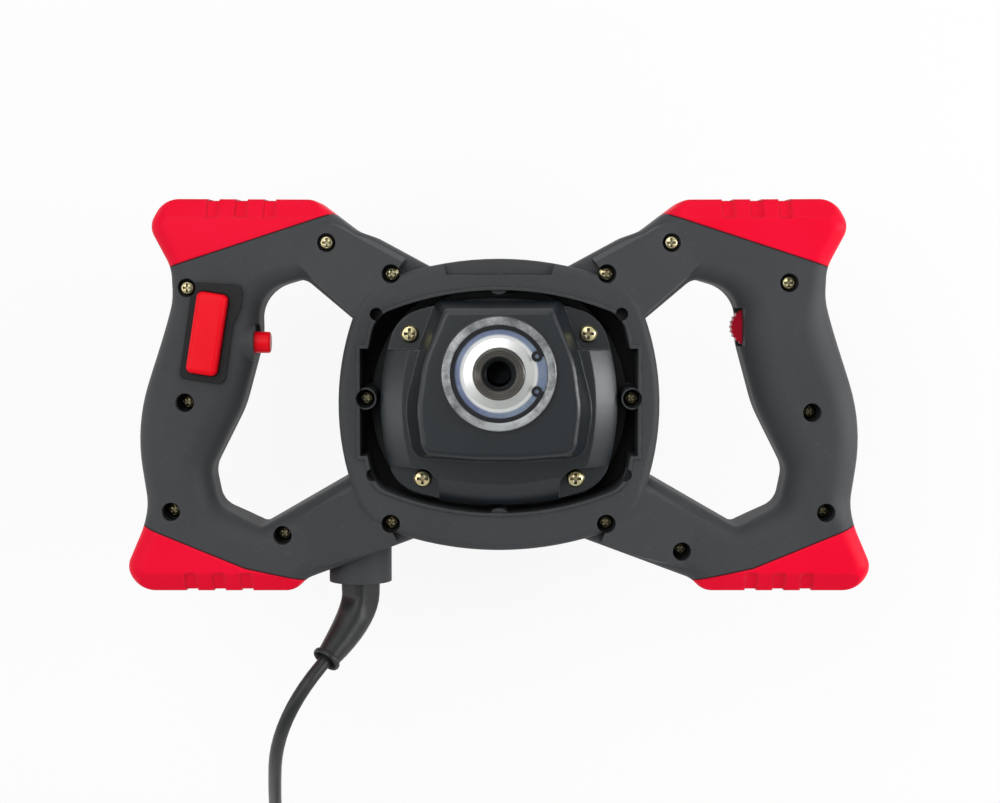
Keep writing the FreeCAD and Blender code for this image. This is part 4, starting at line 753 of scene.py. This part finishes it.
def make_boot(line):
    """Strain relief: faceted root, tapering sleeve, flared open lip round the lead."""
    along = stretch(line, boot_start, boot_end)
    tip, tip_heading, tip_run = along[-1]
    root_run = along[0][2]
    rings = []
    for place, heading, run in along:
        share = (run - root_run) / (tip_run - root_run)
        radius = boot_radius - boot_taper * share ** 2
        facet = max(0, min(1, (boot_facet_end - share) / boot_facet_fade))
        rings.append(ring_about(place, heading, boot_section(radius, facet)))
    for step, radius in boot_lip:
        rings.append(ring_about(tip + tip_heading * step, tip_heading, [radius] * boot_sides))
    boot = shown("lead_boot", skinned("lead_boot", rings), "cord_rubber", "frame")
    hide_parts("cord_boot")


def make_plug(end, leaving):
    """Moulded plug body with a ribbed neck and a waist to grip."""
    side = leaving.cross(up).normalized()
    rings = []
    for along, half_width, half_height, squareness in plug_sections:
        ring = []
        for i in range(plug_sides):
            angle = 2 * math.pi * i / plug_sides
            across = abs(math.cos(angle)) ** (2 / squareness) * math.copysign(half_width, math.cos(angle))
            rise = abs(math.sin(angle)) ** (2 / squareness) * math.copysign(half_height, math.sin(angle))
            ring.append(end + leaving * along + side * across + up * rise)
        rings.append(ring)
    plug = shown("mains_plug", skinned("mains_plug", rings), "black_plastic", "frame")
    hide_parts("plug_body")
    return plug


def make_tie(line):
    """Hook-and-loop strap drawn tight round the coil's turns."""
    middle = Vector(lead_route[-1]) + coil_heading * coil_lead_in + coil_side * coil_outer_radius
    turns = []
    for here, there in zip(line, line[1:]):
        before = (here - middle).dot(coil_heading)
        after = (there - middle).dot(coil_heading)
        spot = (here + there) / 2 - middle
        if (before < 0) != (after < 0) and spot.dot(coil_side) > 0:
            turns.append(Vector((spot.dot(coil_side), spot.z)))
    inside = cord_radius + tie_gap
    outside = inside + tie_thickness
    rings = []
    for i in range(tie_facets):
        angle = 2 * math.pi * i / tie_facets
        outward = Vector((math.cos(angle), math.sin(angle)))
        held = max(turns, key=outward.dot)
        ring = []
        for lift, share in ((outside, -0.5), (outside, 0.5), (inside, 0.5), (inside, -0.5)):
            spot = held + outward * lift
            place = middle + coil_side * spot.x + up * spot.y
            ring.append(place + coil_heading * (share * tie_width))
        rings.append(ring)
    tie = shown("coil_strap", skinned("coil_strap", rings, True), "black_plastic", "frame")
    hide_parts("coil_tie")
    return tie


def spindle_outline():
    """Radius and height from the tail, over the rim and down the turned mouth to the thread."""
    low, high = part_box("spindle")
    outline = [
        (tail_point, low.z), (tail_radius - tail_chamfer, low.z), (tail_radius, low.z + tail_chamfer),
        (tail_radius, tail_top), (journal_radius, tail_top), (journal_radius, journal_top),
        (collar_radius, journal_top)]
    outline += [(radius, high.z - drop) for radius, drop in spindle_rim]
    for turn in range(mouth_turns):
        for step, fall in mouth_ledge:
            radius = mouth_radius - (turn + step) * mouth_step
            outline.append((radius, high.z - (turn + fall) * mouth_fall))
    outline.append((mouth_foot_radius, thread_top))
    return outline


def thread_ring(height):
    """Radius and height round the bore at one height of the thread."""
    ring = []
    for i in range(spindle_sides):
        turn = ((thread_top - height) / thread_pitch + i / spindle_sides) % 1
        rise = 1 - abs(2 * turn - 1)
        depth = max(0, min(1, rise * thread_flank - thread_land))
        ring.append((thread_crest + (thread_root - thread_crest) * depth, height))
    return ring


def make_spindle():
    """Spindle end with its internal thread, turned as one skin from the tail to the bore's floor."""
    sections = [[place] * spindle_sides for place in spindle_outline()]
    for row in range(thread_rings + 1):
        sections.append(thread_ring(thread_top + (thread_foot - thread_top) * row / thread_rings))
    sections += [[place] * spindle_sides for place in bore_floor]
    rings = []
    for section in sections:
        ring = []
        for i, (radius, height) in enumerate(section):
            angle = 2 * math.pi * i / spindle_sides
            place = Vector((radius * math.cos(angle), radius * math.sin(angle), height))
            ring.append(spindle_centre + place)
        rings.append(ring)
    spindle = shown("threaded_spindle", skinned("threaded_spindle", rings), "steel", "output")
    spindle.data.materials[0] = spindle_steel()
    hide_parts("spindle")


def make_camera():
    lens = bpy.data.cameras.new("camera")
    lens.sensor_width = sensor
    lens.lens = sensor * focal_pixels / photo_width
    camera = bpy.data.objects.new("camera", lens)
    camera.location = camera_place
    camera.rotation_euler = (camera_lean, 0, 0)
    scene.collection.objects.link(camera)
    scene.camera = camera


def make_lamp(name, place, width, height, watts):
    light = bpy.data.lights.new(name, "AREA")
    light.shape = "RECTANGLE"
    light.size = width
    light.size_y = height
    light.energy = watts
    lamp = bpy.data.objects.new(name, light)
    lamp.location = place
    lamp.rotation_euler = (lamp_aim - Vector(place)).to_track_quat("-Z", "Y").to_euler()
    lamp.visible_glossy = name != matt_lamp
    scene.collection.objects.link(lamp)


def make_air():
    """Air that shows white to the lens and to polished metal, and lights matt faces less."""
    scene.world = bpy.data.worlds.new("studio_air")
    air = Finish(scene.world, "Background", "Generated")
    overhead = air.between(air.along("Z"), *roof_fade)
    seen = air.seen_white() * (1 - (1 - roof_level) * overhead)
    air.surface({"Color": white, "Strength": air_level})
    bright = air.node("Background", {}, {"Color": white, "Strength": 1.0})
    air.surface_with(bright, seen, "World Output")


def make_floor():
    """White floor that keeps a soft shadow round the drill."""
    coat = new_finish("studio_floor")
    matt = coat.noise(scale=40, detail=2, roughness=0.5)
    coat.surface({"Base Color": floor_grey, "Roughness": 0.8 + 0.1 * matt})
    bright = coat.node("Emission", {}, {"Color": white, "Strength": 1.0})
    away = coat.between(coat.reach(shadow_centre), *shadow_fade)
    glow = floor_glow + (1 - floor_glow) * away
    coat.surface_with(bright, glow * coat.seen_white(), "Material Output")
    corners = [(-1, -1), (1, -1), (1, 1), (-1, 1)]
    places = [(x * floor_half, y * floor_half, -floor_drop) for x, y in corners]
    data = bpy.data.meshes.new("studio_floor")
    data.from_pydata(places, [], [(0, 1, 2, 3)])
    data.materials.append(coat.owner)
    floor = bpy.data.objects.new("studio_floor", data)
    scene.collection.objects.link(floor)


def make_studio():
    scene.view_settings.view_transform = "Standard"
    make_air()
    make_floor()
    for name, (place, width, height, watts) in lamps.items():
        make_lamp(name, place, width, height, watts)


make_camera()
make_studio()
lead, line, lead_end, leaving = make_lead()
make_boot(line)
plug = make_plug(lead_end, leaving)
tie = make_tie(line)
make_spindle()
run_length = sum((b - a).length for a, b in zip(line, line[1:]))

bpy.context.view_layer.update()
